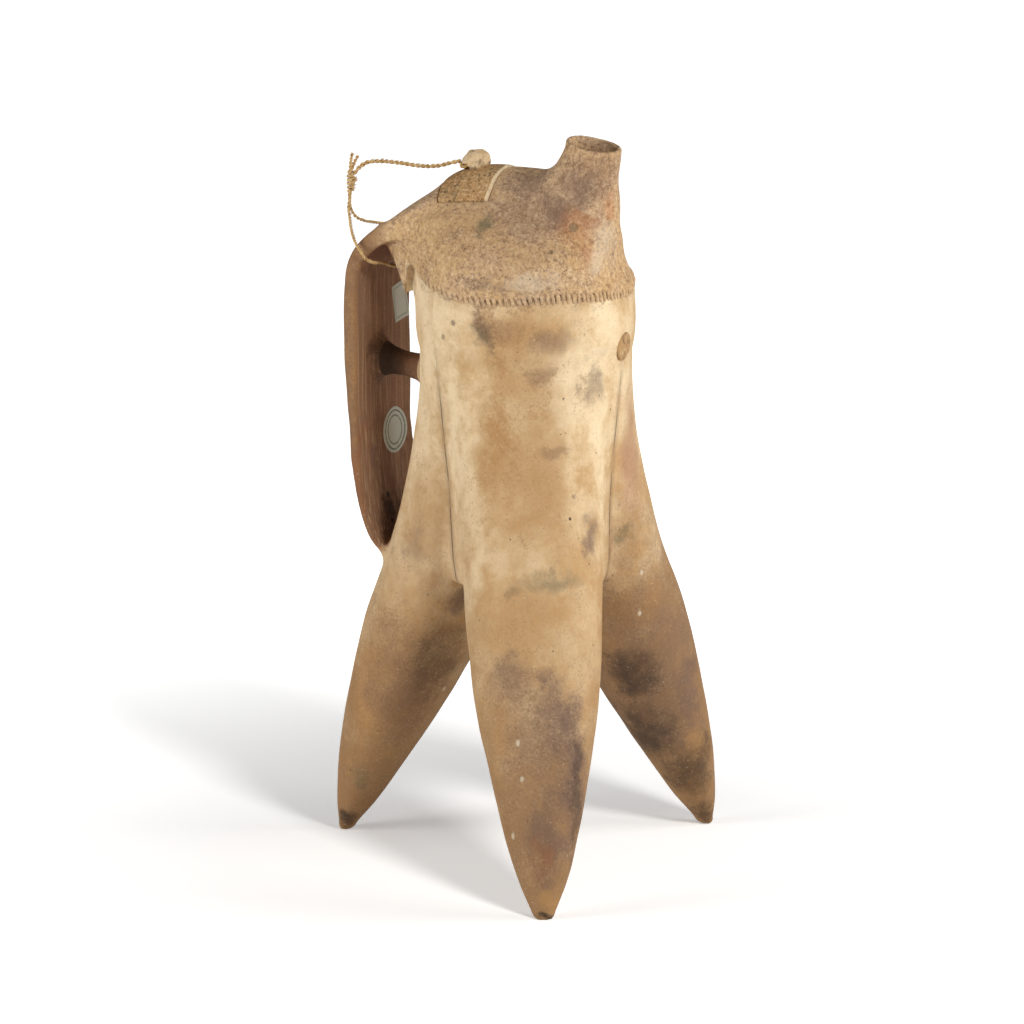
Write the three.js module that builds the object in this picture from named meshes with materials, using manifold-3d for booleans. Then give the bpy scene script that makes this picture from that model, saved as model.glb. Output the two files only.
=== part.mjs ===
// Tripod ewer of hand-built earthenware: three hollow pointed legs that swell into one body, a closed dome
// with a tubular spout, a broad strap handle held off by a strut, and a small lid tied to it by a cord.
// Millimetres, +Z up. The spout points along +X, the handle and the rear leg along -X.
import * as THREE from "three";
import { mergeVertices } from "three/addons/utils/BufferGeometryUtils.js";
import Module from "manifold-3d";

const wasm = await Module();
wasm.setup();

// Legs and body
const footCircle = 102; // from the legs' common axis to the middle of each foot
const footHalfWidth = 4.2; // the worn flat on which a leg stands
const legHalfWidth = 33; // where the legs part
const legWall = 5;
const solidTip = 22; // a leg is solid up to this height
const legLean = 3.6; // the feet stand this much further towards the spout than the body's axis
const shoulderHeight = 252; // the three lobes have become one round body here
const crotchHeight = 157; // underside of the body, on the axis
const crotchDrop = 16; // the underside's edge hangs this much lower
const creaseRadius = 44; // the body between two lobes
const bodyRadius = 50.6;
const bodyWall = 4.5;

// Seam between the legs and the dome
const seamHeight = 290.2; // on the axis
const seamFall = 10.1; // from the handle's side to the spout's side
const bandHalfHeight = 2.7;
const bandProud = 2;
const notchCount = 84;
const notchDepth = 0.9;

// Dome and spout
const domeTop = 338.6;
const domeWall = 4.5;
const spoutReach = 36.2; // from the body's axis to the middle of the mouth
const spoutHeight = 353.9; // middle of the mouth
const spoutLipFall = 5; // the mouth slopes down away from the handle
const mouthRadius = 12.8;
const spoutBaseRadius = 17.5;
const spoutWall = 2.6; // at the mouth
const spoutRoot = 46; // the tube starts this far below the dome's top, inside its wall
const spoutCutTurn = THREE.MathUtils.degToRad(31); // of the cut between dome and spout, down from level
const spoutCutBack = 23; // a point of that cut, from the mouth's middle towards the handle
const spoutCutDrop = 14.1; // and below it

// Lid, cut out of the dome beside the spout
const lidCentre = -23.8; // along X
const lidLength = 30;
const lidWidth = 49;
const lidTilt = THREE.MathUtils.degToRad(18); // of its lift, away from the spout
const lidTaper = 1.2; // the cut edge slopes in by this much through the dome's wall
const lidFit = 0.35;
const lidProud = 0.8;
const knobRadius = 6.8;
const knobHalfHeight = 5.6;
const stringHoleRadius = 1.7;
const knobSink = 2.2; // its middle stands this much less than its half height above the lid

// Handle and strut
const strapStandOff = 34.3; // from the body to the strap's outer side
const strapFoot = 136; // height of its lower end, in the rear leg
const strapDrop = 17.6; // its upper end lies this far below the dome's top
const strapHalfWidth = 27;
const strapThickness = 8.3;
const gutterDepth = 3; // the side towards the body is hollowed
const strapCrown = 1.5;
const strutHeight = 239; // where it leaves the strap
const strutFall = 5;
const strutRadius = 6;
const strutFlare = 4.2;

// Pellet under the spout
const pelletDrop = 32.2; // its middle lies this far below the seam
const pelletRadius = 6.4;
const pelletProud = 3;

// Labels on the inside of the strap
const roundLabelRadius = 11.2;
const roundLabelHeight = 200;
const squareLabelHeight = 264;
const squareLabelWidth = 12;
const squareLabelLength = 17.6;
const squareLabelTurn = THREE.MathUtils.degToRad(13);
const labelThickness = 0.6;
const roundLabelOffset = 12.6; // both lie towards the strap's left edge
const squareLabelOffset = 16.4;

// Cord
const tetherRadius = 1.05;
const strandRadius = 0.8;
const knotRadius = 2.2;
const knotLength = 6.8;

// Play
const fitGap = 0.3; // between luted pieces

const seamSlope = -seamFall / (2 * bodyRadius);
const seamAt = (x) => seamHeight + seamSlope * x;
const legAngles = { rear_leg: Math.PI, left_leg: Math.PI / 3, right_leg: -Math.PI / 3 };

// Solids

function toSolid(geometry) {
  const bare = geometry.clone();
  bare.deleteAttribute("normal");
  bare.deleteAttribute("uv");
  const merged = mergeVertices(bare, 1e-4);
  return new wasm.Manifold(
    new wasm.Mesh({
      numProp: 3,
      vertProperties: merged.attributes.position.array,
      triVerts: new Uint32Array(merged.index.array),
    }),
  );
}

function toGeometry(solid) {
  const mesh = solid.getMesh();
  const geometry = new THREE.BufferGeometry();
  geometry.setAttribute("position", new THREE.BufferAttribute(mesh.vertProperties, 3));
  geometry.setIndex(new THREE.BufferAttribute(mesh.triVerts, 1));
  return geometry;
}

// A closed skin over rings of equally many points, each turning anticlockwise about the way up the stack.
function loft(rings) {
  const count = rings[0].length;
  const positions = rings.flat().flatMap((point) => [point.x, point.y, point.z]);
  const index = [];
  for (let i = 0; i + 1 < rings.length; i++) {
    for (let j = 0; j < count; j++) {
      const next = (j + 1) % count;
      const [a, b] = [i * count + j, i * count + next];
      index.push(a, b, b + count, a, b + count, a + count);
    }
  }
  for (const [ring, flip] of [[0, true], [rings.length - 1, false]]) {
    const middle = new THREE.Vector3();
    rings[ring].forEach((point) => middle.addScaledVector(point, 1 / count));
    const centre = positions.length / 3;
    positions.push(middle.x, middle.y, middle.z);
    for (let j = 0; j < count; j++) {
      const [a, b] = [ring * count + j, ring * count + ((j + 1) % count)];
      index.push(centre, flip ? b : a, flip ? a : b);
    }
  }
  const geometry = new THREE.BufferGeometry();
  geometry.setAttribute("position", new THREE.Float32BufferAttribute(positions, 3));
  geometry.setIndex(index);
  return geometry;
}

const ringOf = (count, place) =>
  Array.from({ length: count }, (_, j) => place((2 * Math.PI * j) / count));

// Rows of four values, taken at even steps along a smooth curve through the given ones.
function smoothRows(rows, count) {
  const pair = (from) =>
    new THREE.SplineCurve(rows.map((row) => new THREE.Vector2(row[from], row[from + 1]))).getPoints(count);
  const [first, second] = [pair(0), pair(2)];
  return first.map((point, i) => [...point.toArray(), ...second[i].toArray()]);
}

// Legs

// Each row: height, distance of the leg's middle from the axis, half depth and half width.
function legRows() {
  const shape = [
    [0.017, 0.984, 0.14, 0.18],
    [0.059, 0.94, 0.28, 0.32],
    [0.163, 0.835, 0.52, 0.57],
    [0.27, 0.718, 0.72, 0.75],
    [0.377, 0.608, 0.86, 0.89],
    [0.472, 0.513, 0.94, 0.955],
    [0.575, 0.398, 0.985, 1],
    [0.675, 0.299, 1.045, 1.06],
    [0.774, 0.215, 1.1, 1.11],
    [0.889, 0.11, 1.27, 1.28],
  ];
  const rows = shape.map(([height, reach, depth, width]) => [
    height * shoulderHeight,
    reach * footCircle,
    depth * legHalfWidth,
    width * legHalfWidth,
  ]);
  const foot = [0, footCircle, 0.8 * footHalfWidth, footHalfWidth];
  const round = bodyRadius - fitGap;
  return smoothRows([foot, ...rows, [shoulderHeight, 0, round, round]], 17);
}

// One leg along +X with its lobe, as a stack of flat ovals.
function legHorn(inset, from) {
  const rows = legRows().filter((row) => row[0] >= from);
  rows.push([seamHeight + seamFall, 0, bodyRadius, bodyRadius]);
  return toSolid(
    loft(
      rows.map(([height, reach, depth, width]) =>
        ringOf(28, (turn) => {
          const [x, y] = [(depth - inset) * Math.cos(turn), (width - inset) * Math.sin(turn)];
          return new THREE.Vector3(reach + x, y, height);
        }),
      ),
    ),
  );
}

// The round core that shows in the creases and closes the body between the legs.
function core(inset) {
  const edge = creaseRadius - 4.6;
  const rise = crotchHeight + inset;
  const profile = [
    [0, rise],
    [0.45 * edge, rise - 0.12 * crotchDrop],
    [0.75 * edge - inset, rise - 0.5 * crotchDrop],
    [0.92 * edge - inset, rise - 0.9 * crotchDrop],
    [edge - inset, rise - crotchDrop],
    [edge + 2 - inset, rise - 0.8 * crotchDrop],
    [edge + 3.4 - inset, rise - 0.2 * crotchDrop],
    [creaseRadius - inset, 0.735 * shoulderHeight],
    [0.5 * (creaseRadius + bodyRadius) - inset, 0.9 * shoulderHeight],
    [bodyRadius - 1.4 - inset, shoulderHeight],
    [bodyRadius - 1.4 - inset, seamHeight + seamFall],
    [0, seamHeight + seamFall],
  ];
  const lathe = new THREE.LatheGeometry(profile.map(([r, z]) => new THREE.Vector2(r, z)), 48);
  return toSolid(lathe.rotateX(Math.PI / 2));
}

// The third of the body that belongs to the leg along +X.
function third() {
  const apex = fitGap / 2 / Math.sin(Math.PI / 3);
  const far = 2 * footCircle;
  const shape = new THREE.Shape();
  shape.moveTo(apex, 0);
  shape.lineTo(far, -(far - apex) * Math.tan(Math.PI / 3));
  shape.lineTo(far, (far - apex) * Math.tan(Math.PI / 3));
  const depth = 2 * seamHeight;
  return toSolid(new THREE.ExtrudeGeometry(shape, { depth, bevelEnabled: false }).translate(0, 0, -10));
}

// Everything above the seam, shifted along its normal.
function aboveSeam(shift) {
  const size = 6 * bodyRadius;
  const block = new THREE.BoxGeometry(size, size, size).translate(0, 0, size / 2 + shift);
  block.rotateY(-Math.atan(seamSlope)).translate(0, 0, seamHeight);
  return toSolid(block);
}

function stand(geometry, angle) {
  const lean = new THREE.Matrix4().makeShear(0, 0, 0, 0, -legLean / seamHeight, 0);
  return geometry.rotateZ(angle).applyMatrix4(lean).translate(legLean, 0, 0);
}

function leg(angle) {
  const outer = legHorn(0, 0).add(core(0));
  const hollow = legHorn(legWall, solidTip).add(core(bodyWall));
  const shell = outer.subtract(hollow).intersect(third());
  return toGeometry(toSolid(stand(toGeometry(shell), angle)).subtract(aboveSeam(-fitGap / 2)));
}

// The leg's outside, grown by the play that a piece luted onto it keeps.
const legOutside = (angle) =>
  toSolid(stand(toGeometry(legHorn(-fitGap, 0).add(core(-fitGap))), angle));

// Dome

// Each row: height at the axis, reach to the spout's side, reach to the handle's side, half width and
// squareness of the handle's side. The lowest row lies in the seam.
const domeRows = [
  [0, 1, 1, 1, 2],
  [0.2, 0.93, 0.995, 0.93, 2.2],
  [0.41, 0.93, 0.955, 0.8, 2.5],
  [0.575, 0.9, 0.9, 0.63, 3],
  [0.72, 0.86, 0.82, 0.475, 3.4],
  [0.835, 0.82, 0.75, 0.36, 3.2],
  [0.92, 0.73, 0.6, 0.26, 2.8],
  [0.975, 0.55, 0.4, 0.15, 2.4],
  [1, 0.3, 0.2, 0.06, 2],
];

function oval(turn, front, back, side, square) {
  const [c, s] = [Math.cos(turn), Math.sin(turn)];
  const power = c > 0 ? 1 : 2 / square;
  return [
    (c > 0 ? front : back) * Math.sign(c) * Math.abs(c) ** power,
    side * Math.sign(s) * Math.abs(s) ** power,
  ];
}

function domeSolid(inset) {
  const rise = domeTop - seamHeight;
  const rings = domeRows.map(([up, front, back, side, square]) =>
    ringOf(40, (turn) => {
      const reach = (share) => Math.max(share * bodyRadius - inset, 0.03 * bodyRadius);
      const [x, y] = oval(turn, reach(front), reach(back), reach(side), square);
      return new THREE.Vector3(x, y, seamHeight + up * (rise - inset) + (1 - up) * seamSlope * x);
    }),
  );
  if (inset > 0) rings.unshift(rings[0].map((point) => point.clone().setZ(point.z - 3)));
  return toSolid(loft(rings));
}

// Spout

// A round tube from inside the dome to the mouth: it runs up the front wall, then leans out and narrows.
// Each row: height, distance of its middle from the axis and radius, as shares.
function spoutSolid(inset) {
  const foot = domeTop - spoutRoot;
  const mouth = mouthRadius / spoutBaseRadius;
  const rows = [
    [0, 0.6, 0.8],
    [0.137, 0.7, 0.95],
    [0.3, 0.75, 1.02],
    [0.507, 0.79, 1.1],
    [0.703, 0.84, 0.97],
    [0.806, 0.91, 0.86],
    [0.884, 0.96, 0.797],
    [0.95, 0.99, mouth],
    [1, 1, mouth],
  ];
  const extra = inset > 0 ? 4 : 0;
  return toSolid(
    loft(
      rows.map(([up, reach, width], i) =>
        ringOf(28, (turn) => {
          const radius = inset > 0 ? mouthRadius - inset : width * spoutBaseRadius;
          const x = reach * spoutReach + radius * Math.cos(turn);
          const tilt = up ** 3 * (x - spoutReach) * (-spoutLipFall / (2 * mouthRadius));
          const over = i === 0 ? -extra : i === rows.length - 1 ? extra : 0;
          const z = foot + up * (spoutHeight - foot) + tilt + over;
          return new THREE.Vector3(x, radius * Math.sin(turn), z);
        }),
      ),
    ),
  );
}

// The sloping cut that parts the spout from the dome, as everything above it.
function aboveSpoutSeam(shift) {
  const size = 2 * bodyRadius;
  const block = new THREE.BoxGeometry(size, size, size).translate(0, 0, size / 2 + shift);
  block.rotateY(spoutCutTurn).translate(spoutReach - spoutCutBack, 0, spoutHeight - spoutCutDrop);
  return toSolid(block);
}

// Lid

// A wedge-sided block through the dome's roof, in the lid's outline.
function lidBlock(inset) {
  const rings = [-4, 0, 1.6].map((level) => {
    const [a, b] = [lidLength, lidWidth].map((size) => size / 2 - inset + level * lidTaper);
    const corner = 1;
    const outline = [
      [a, b - corner], [a - corner, b], [0, b], [corner - a, b], [-a, b - corner], [-a, 0],
      [-a, corner - b], [corner - a, -b], [0, -b], [a - corner, -b], [a, corner - b], [a, 0],
    ];
    return outline.map(([x, y]) => new THREE.Vector3(x, y, level * domeWall));
  });
  return toSolid(placeOnLid(loft(rings)));
}

// The dome's roof under the lid's middle, found on the ridge.
const lidSeat = (() => {
  const ridge = domeRows.map(([up, , back]) => [
    -back * bodyRadius,
    seamHeight + up * (domeTop - seamHeight) - (1 - up) * seamSlope * back * bodyRadius,
  ]);
  const after = ridge.findIndex(([x]) => x > lidCentre);
  const [[x0, z0], [x1, z1]] = [ridge[after - 1], ridge[after]];
  return z0 + ((lidCentre - x0) * (z1 - z0)) / (x1 - x0);
})();

function placeOnLid(geometry) {
  return geometry.rotateY(-lidTilt).translate(lidCentre, 0, lidSeat);
}

const lidPanel = () => domeSolid(-lidProud).subtract(domeSolid(domeWall)).intersect(lidBlock(lidFit));

function knobSolid() {
  const ball = new THREE.SphereGeometry(knobRadius, 20, 13).rotateX(Math.PI / 2);
  ball.scale(1, 1, knobHalfHeight / knobRadius).translate(0, 0, knobHalfHeight - knobSink + lidProud);
  const hole = new THREE.CylinderGeometry(stringHoleRadius, stringHoleRadius, 4 * knobRadius, 16);
  hole.translate(-0.42 * knobRadius, 0, lidProud + fitGap + stringHoleRadius);
  const skin = domeSolid(-lidProud - fitGap);
  return toSolid(placeOnLid(ball)).subtract(toSolid(placeOnLid(hole))).subtract(skin);
}

function upperDome() {
  return domeSolid(0)
    .add(spoutSolid(0))
    .subtract(aboveSpoutSeam(-fitGap / 2))
    .subtract(domeSolid(domeWall))
    .subtract(spoutSolid(spoutWall))
    .subtract(belowSeam())
    .subtract(lidBlock(0));
}

function belowSeam() {
  const size = 6 * bodyRadius;
  const block = new THREE.BoxGeometry(size, size, size).translate(0, 0, fitGap / 2 - size / 2);
  block.rotateY(-Math.atan(seamSlope)).translate(0, 0, seamHeight);
  return toSolid(block);
}

const spout = () =>
  domeSolid(0)
    .add(spoutSolid(0))
    .intersect(aboveSpoutSeam(fitGap / 2))
    .subtract(domeSolid(domeWall))
    .subtract(spoutSolid(spoutWall))
    .subtract(lidBlock(0));

// Luting band: a clay coil over the seam, pinched into slanting notches.
function lutingBand() {
  const section = [
    [0, -1],
    [0.62, -0.75],
    [1, -0.2],
    [1, 0.35],
    [0.55, 0.85],
    [0, 1],
  ];
  const steps = 2 * notchCount;
  const inner = bodyRadius + fitGap;
  const rings = Array.from({ length: steps }, (_, i) =>
    section.map(([out, up]) => {
      const angle = (2 * Math.PI * (i + 0.55 * up)) / steps;
      const pinch = i % 2 ? notchDepth : 0;
      const radius = inner + out * (bandProud - pinch);
      const [x, y] = [radius * Math.cos(angle), radius * Math.sin(angle)];
      return new THREE.Vector3(x, y, seamAt(x) + up * bandHalfHeight);
    }),
  );
  return closedLoop(rings);
}

// A closed skin over rings that follow one another round a loop.
function closedLoop(rings) {
  const count = rings[0].length;
  const positions = rings.flat().flatMap((point) => [point.x, point.y, point.z]);
  const index = [];
  rings.forEach((_, i) => {
    const following = ((i + 1) % rings.length) * count;
    for (let j = 0; j < count; j++) {
      const next = (j + 1) % count;
      const [a, b] = [i * count + j, i * count + next];
      index.push(a, following + j, following + next, a, following + next, b);
    }
  });
  const geometry = new THREE.BufferGeometry();
  geometry.setAttribute("position", new THREE.Float32BufferAttribute(positions, 3));
  geometry.setIndex(index);
  return geometry;
}

// Handle

// The strap's outer ridge from the dome's roof to the rear leg. Each row, in shares: how far out from the
// body, how far up from the lower end, half width and the edge's thickness.
const strapShape = [
  [-0.373, 0.985, 0.5, 1],
  [-0.155, 0.985, 0.78, 1],
  [0.079, 0.977, 0.96, 1],
  [0.312, 0.952, 1, 1],
  [0.589, 0.918, 1, 1],
  [0.808, 0.876, 1, 1],
  [0.942, 0.827, 1, 1],
  [0.994, 0.762, 1, 1],
  [1, 0.67, 1, 1],
  [0.977, 0.551, 1, 0.87],
  [0.918, 0.389, 1, 0.7],
  [0.866, 0.259, 0.98, 0.66],
  [0.808, 0.168, 0.9, 0.66],
  [0.72, 0.092, 0.75, 0.66],
  [0.574, 0.038, 0.52, 0.66],
  [0.341, 0, 0.3, 0.66],
];
const strapRows = strapShape.map(([out, up, wide, thick]) => [
  -bodyRadius - out * strapStandOff,
  strapFoot + up * (domeTop - strapDrop - strapFoot),
  wide,
  thick,
]);

function strapSolid(grow) {
  const ridge = new THREE.CatmullRomCurve3(strapRows.map(([x, z]) => new THREE.Vector3(x, 0, z)));
  const shares = new THREE.SplineCurve(strapRows.map(([, , wide, thick]) => new THREE.Vector2(wide, thick)));
  const steps = 2 * (strapRows.length - 1);
  const across = [-1, -0.9, -0.7, -0.35, 0, 0.35, 0.7, 0.9, 1];
  const rings = Array.from({ length: steps + 1 }, (_, i) => {
    const t = i / steps;
    const middle = ridge.getPoint(t);
    const along = ridge.getTangent(t);
    const inwards = new THREE.Vector3(-along.z, 0, along.x);
    const share = shares.getPoint(t);
    const half = strapHalfWidth * share.x + grow;
    const depth = strapThickness * share.y + strapCrown + grow;
    const hollow = gutterDepth * Math.min(1, half / strapHalfWidth);
    const at = (side, inset) => middle.clone().addScaledVector(inwards, inset).setY(side * half);
    const outside = across.map((side) => at(side, strapCrown * side ** 2 - grow));
    const inside = across.map((side) => at(side, depth - hollow * (1 - side ** 4)));
    return [...outside, ...inside.reverse()];
  });
  return toSolid(loft(rings));
}

const handleStrap = () =>
  strapSolid(0).subtract(domeSolid(-fitGap)).subtract(legOutside(legAngles.rear_leg));

// Where the strap's hollowed side lies at a height, at the middle of its width.
function gutterAt(height) {
  const after = strapRows.findIndex(([, z], i) => i > 5 && z < height);
  const [above, below] = [strapRows[after - 1], strapRows[after]];
  const down = (above[1] - height) / (above[1] - below[1]);
  const [ridge, , , thick] = above.map((value, i) => value + down * (below[i] - value));
  return ridge + thick * strapThickness + strapCrown - gutterDepth;
}

// Strut between the strap and the body, flared at both ends.
function handleStrut() {
  const from = gutterAt(strutHeight) - 4;
  const to = -bodyRadius + 3;
  const length = to - from;
  const profile = [
    [0, 0],
    [strutRadius + strutFlare, 0],
    [strutRadius + 0.8 * strutFlare, 0.17 * length],
    [strutRadius + 0.2 * strutFlare, 0.34 * length],
    [strutRadius, 0.52 * length],
    [strutRadius + 0.15 * strutFlare, 0.72 * length],
    [strutRadius + 0.75 * strutFlare, 0.9 * length],
    [strutRadius + 0.75 * strutFlare, length],
    [0, length],
  ];
  const lathe = new THREE.LatheGeometry(profile.map(([r, z]) => new THREE.Vector2(r, z)), 24);
  lathe.rotateX(Math.PI / 2).rotateY(Math.PI / 2 + Math.atan(strutFall / length));
  lathe.translate(from, 0, strutHeight + 0.5);
  return toSolid(lathe).subtract(strapSolid(fitGap)).subtract(legOutside(legAngles.rear_leg));
}

// Pellet pressed onto the body under the spout
function frontPellet() {
  const profile = [
    [0, -2],
    [pelletRadius, -2],
    [pelletRadius, 0.5 * pelletProud],
    [0.86 * pelletRadius, 0.85 * pelletProud],
    [0.5 * pelletRadius, pelletProud],
    [0, pelletProud],
  ];
  const lathe = new THREE.LatheGeometry(profile.map(([r, z]) => new THREE.Vector2(r, z)), 24);
  lathe.rotateX(Math.PI / 2).rotateY(Math.PI / 2).translate(bodyRadius - fitGap, 0, seamHeight - pelletDrop);
  const both = legOutside(legAngles.left_leg).add(legOutside(legAngles.right_leg));
  return toSolid(lathe).subtract(both);
}

// Labels

// Bends a thin upright plate onto the strap's hollowed side.
function ontoStrap(geometry, offset, height) {
  const floor = gutterAt(height) + fitGap + 0.1;
  const lean = (gutterAt(height - 10) - gutterAt(height + 10)) / 20;
  geometry.translate(0, offset, 0);
  const position = geometry.attributes.position;
  for (let i = 0; i < position.count; i++) {
    const [x, y, z] = [position.getX(i), position.getY(i), position.getZ(i)];
    const rise = gutterDepth * (y / strapHalfWidth) ** 4;
    position.setXYZ(i, floor + x + rise - lean * z, y, height + z);
  }
  return geometry;
}

function roundLabel() {
  const plate = new THREE.CylinderGeometry(roundLabelRadius, roundLabelRadius, labelThickness, 28);
  plate.rotateZ(Math.PI / 2).translate(labelThickness / 2, 0, 0);
  return ontoStrap(plate, roundLabelOffset, roundLabelHeight);
}

function squareLabel() {
  const plate = new THREE.BoxGeometry(labelThickness, squareLabelWidth, squareLabelLength, 1, 6, 1);
  plate.rotateX(squareLabelTurn).translate(labelThickness / 2, 0, 0);
  return ontoStrap(plate, squareLabelOffset, squareLabelHeight);
}

// Cord: the points of its route are hand-set, in millimetres from the body's axis.

const tetherRoute = [
  [-34.3, 0, 338.7],
  [-37, -2, 338.4],
  [-44.5, -4, 336.3],
  [-53.1, -5.5, 335.7],
  [-63.3, -7, 336.4],
  [-73.5, -8, 336.5],
  [-80, -9, 335.4],
  [-83.6, -10, 332.9],
  [-85.9, -10.8, 329.9],
];

const knobLoopRoute = [
  [-33, -1.6, 338.3],
  [-31.4, -5.2, 337.8],
  [-29.3, -7.4, 337.9],
  [-27.5, -6.3, 338.2],
  [-27.35, 0, 338.2],
  [-27.5, 6.3, 338.2],
  [-29.3, 7.4, 337.9],
  [-31.4, 5.2, 337.8],
  [-33, 1.6, 338.3],
];

const knotPlace = [-87.4, -11.4, 326.2];

const handleLoopRoute = [
  [-87.6, -10.9, 322.2],
  [-88.2, -11.1, 317.5],
  [-87.8, -10.9, 312.5],
  [-85.9, -9, 308.3],
  [-83.5, -5.6, 306],
  [-82.2, 1, 304.1],
  [-81, 8, 302.3],
  [-79.6, 15, 300.9],
  [-77.9, 23.4, 300.6],
  [-75.9, 29.8, 298],
  [-74.3, 31, 291.5],
  [-72, 29.2, 284.8],
  [-71.1, 22, 281.6],
  [-70.3, 10, 282.3],
  [-69.5, -4, 285],
  [-69.3, -14, 288.6],
  [-69.3, -23, 290.4],
  [-69.7, -31, 294.4],
  [-72.7, -32, 299.3],
  [-77.6, -27.5, 303],
  [-82.4, -21, 306.6],
  [-85.9, -15.5, 309.8],
  [-87.7, -13.3, 313.5],
  [-87.3, -13.1, 318],
  [-87.7, -13.2, 322.2],
];

const tailRoutes = {
  cord_tail_long: [
    [-87.7, -11.9, 330.2],
    [-87.1, -12.2, 335],
    [-86.2, -12.3, 340],
  ],
  cord_tail_short: [
    [-88.4, -9.3, 330],
    [-87.3, -8.6, 334],
    [-85.2, -8.6, 338],
  ],
};

function tube(route, radius, stepsPerPoint) {
  const path = new THREE.CatmullRomCurve3(route.map((point) => new THREE.Vector3(...point)));
  const section = new THREE.Shape();
  for (let j = 0; j < 8; j++) {
    const turn = (2 * Math.PI * j) / 8;
    const to = j ? "lineTo" : "moveTo";
    section[to](radius * Math.cos(turn), radius * Math.sin(turn));
  }
  const steps = stepsPerPoint * (route.length - 1);
  return new THREE.ExtrudeGeometry(section, { steps, extrudePath: path, bevelEnabled: false });
}

function knot() {
  const ball = new THREE.SphereGeometry(knotRadius, 14, 10).scale(1, 1, knotLength / (2 * knotRadius));
  return ball.translate(...knotPlace);
}

// Assembly

const clay = {
  cream: [0xd9bd8c, 0.88],
  brown: [0x8d6c4c, 0.9],
  ochre: [0xb08a55, 0.9],
  strap: [0x9c7a52, 0.9],
  dark: [0x5c4030, 0.92],
  lid: [0xa59066, 0.9],
};
const fibre = [0xb28954, 0.85];
const paper = [0xd8d4c2, 0.7];

const ewer = new THREE.Group();

function place(name, geometry, [color, roughness]) {
  const material = new THREE.MeshStandardMaterial({ color, roughness, metalness: 0 });
  const mesh = new THREE.Mesh(geometry, material);
  mesh.name = name;
  ewer.add(mesh);
}

for (const [name, angle] of Object.entries(legAngles)) place(name, leg(angle), clay.cream);
place("luting_band", lutingBand(), clay.brown);
place("upper_dome", toGeometry(upperDome()), clay.brown);
place("spout", toGeometry(spout()), clay.brown);
place("handle_strap", toGeometry(handleStrap()), clay.strap);
place("handle_strut", toGeometry(handleStrut()), clay.dark);
place("front_pellet", toGeometry(frontPellet()), clay.ochre);
place("lid_panel", toGeometry(lidPanel()), clay.lid);
place("lid_knob", toGeometry(knobSolid()), clay.ochre);
place("round_label", roundLabel(), paper);
place("square_label", squareLabel(), paper);

// The origin is under the middle of the clay, at the feet.
const extent = new THREE.Box3().setFromObject(ewer);
const middle = extent.getCenter(new THREE.Vector3());
ewer.position.set(-middle.x, -middle.y, -extent.min.z);

place("cord_knob_loop", tube(knobLoopRoute, strandRadius, 2), fibre);
place("cord_tether", tube(tetherRoute, tetherRadius, 2), fibre);
place("cord_knot", knot(), fibre);
place("cord_handle_loop", tube(handleLoopRoute, strandRadius, 2), fibre);
for (const [name, route] of Object.entries(tailRoutes)) place(name, tube(route, strandRadius, 2), fibre);

export default ewer;
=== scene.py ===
import math

import bmesh
import bpy
import numpy as np
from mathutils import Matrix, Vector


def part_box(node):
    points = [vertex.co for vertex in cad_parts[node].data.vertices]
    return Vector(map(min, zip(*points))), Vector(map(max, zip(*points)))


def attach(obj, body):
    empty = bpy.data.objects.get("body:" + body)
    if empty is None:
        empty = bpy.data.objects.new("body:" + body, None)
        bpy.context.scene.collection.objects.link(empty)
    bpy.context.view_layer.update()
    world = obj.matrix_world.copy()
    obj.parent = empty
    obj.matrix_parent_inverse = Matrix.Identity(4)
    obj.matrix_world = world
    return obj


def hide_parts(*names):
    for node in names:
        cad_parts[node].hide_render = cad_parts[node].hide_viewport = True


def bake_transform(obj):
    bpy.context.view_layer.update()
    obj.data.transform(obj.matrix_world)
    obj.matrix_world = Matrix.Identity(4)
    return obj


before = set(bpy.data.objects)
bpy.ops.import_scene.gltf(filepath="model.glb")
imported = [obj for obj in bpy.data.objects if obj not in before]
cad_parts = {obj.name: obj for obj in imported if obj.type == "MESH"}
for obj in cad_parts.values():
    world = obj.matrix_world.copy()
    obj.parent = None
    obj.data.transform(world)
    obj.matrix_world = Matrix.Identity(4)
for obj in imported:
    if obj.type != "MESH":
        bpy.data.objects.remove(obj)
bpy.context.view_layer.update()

import openvdb
from bpy.props import FloatProperty, FloatVectorProperty, IntProperty, PointerProperty
from mathutils import Matrix, Vector

bl_info = {
    "name": "Tripod Ewer",
    "version": (1, 0, 0),
    "blender": (4, 5, 0),
    "location": "3D View > Sidebar > Ewer",
    "description": "Models and finishes a hand-built earthenware ewer on three hollow legs",
    "category": "Object",
}

band_low, band_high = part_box("luting_band")
AXIS_X = (band_low.x + band_high.x) / 2  # the body's axis: every form below is set out from it

# The forms, as shares of the sizes below. They repeat the solids' own rows.

# Height, distance of the leg's middle from the axis, half depth and half width.
LEG_SHAPE = [
    (0.017, 0.984, 0.14, 0.18), (0.059, 0.94, 0.28, 0.32), (0.163, 0.835, 0.52, 0.57),
    (0.27, 0.718, 0.72, 0.75), (0.377, 0.608, 0.86, 0.89), (0.472, 0.513, 0.94, 0.955),
    (0.575, 0.398, 0.985, 1), (0.675, 0.299, 1.045, 1.06), (0.774, 0.215, 1.1, 1.11),
    (0.889, 0.11, 1.27, 1.28),
]
LEG_TURNS = {"rear_leg": math.pi, "left_leg": math.pi / 3, "right_leg": -math.pi / 3}
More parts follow.
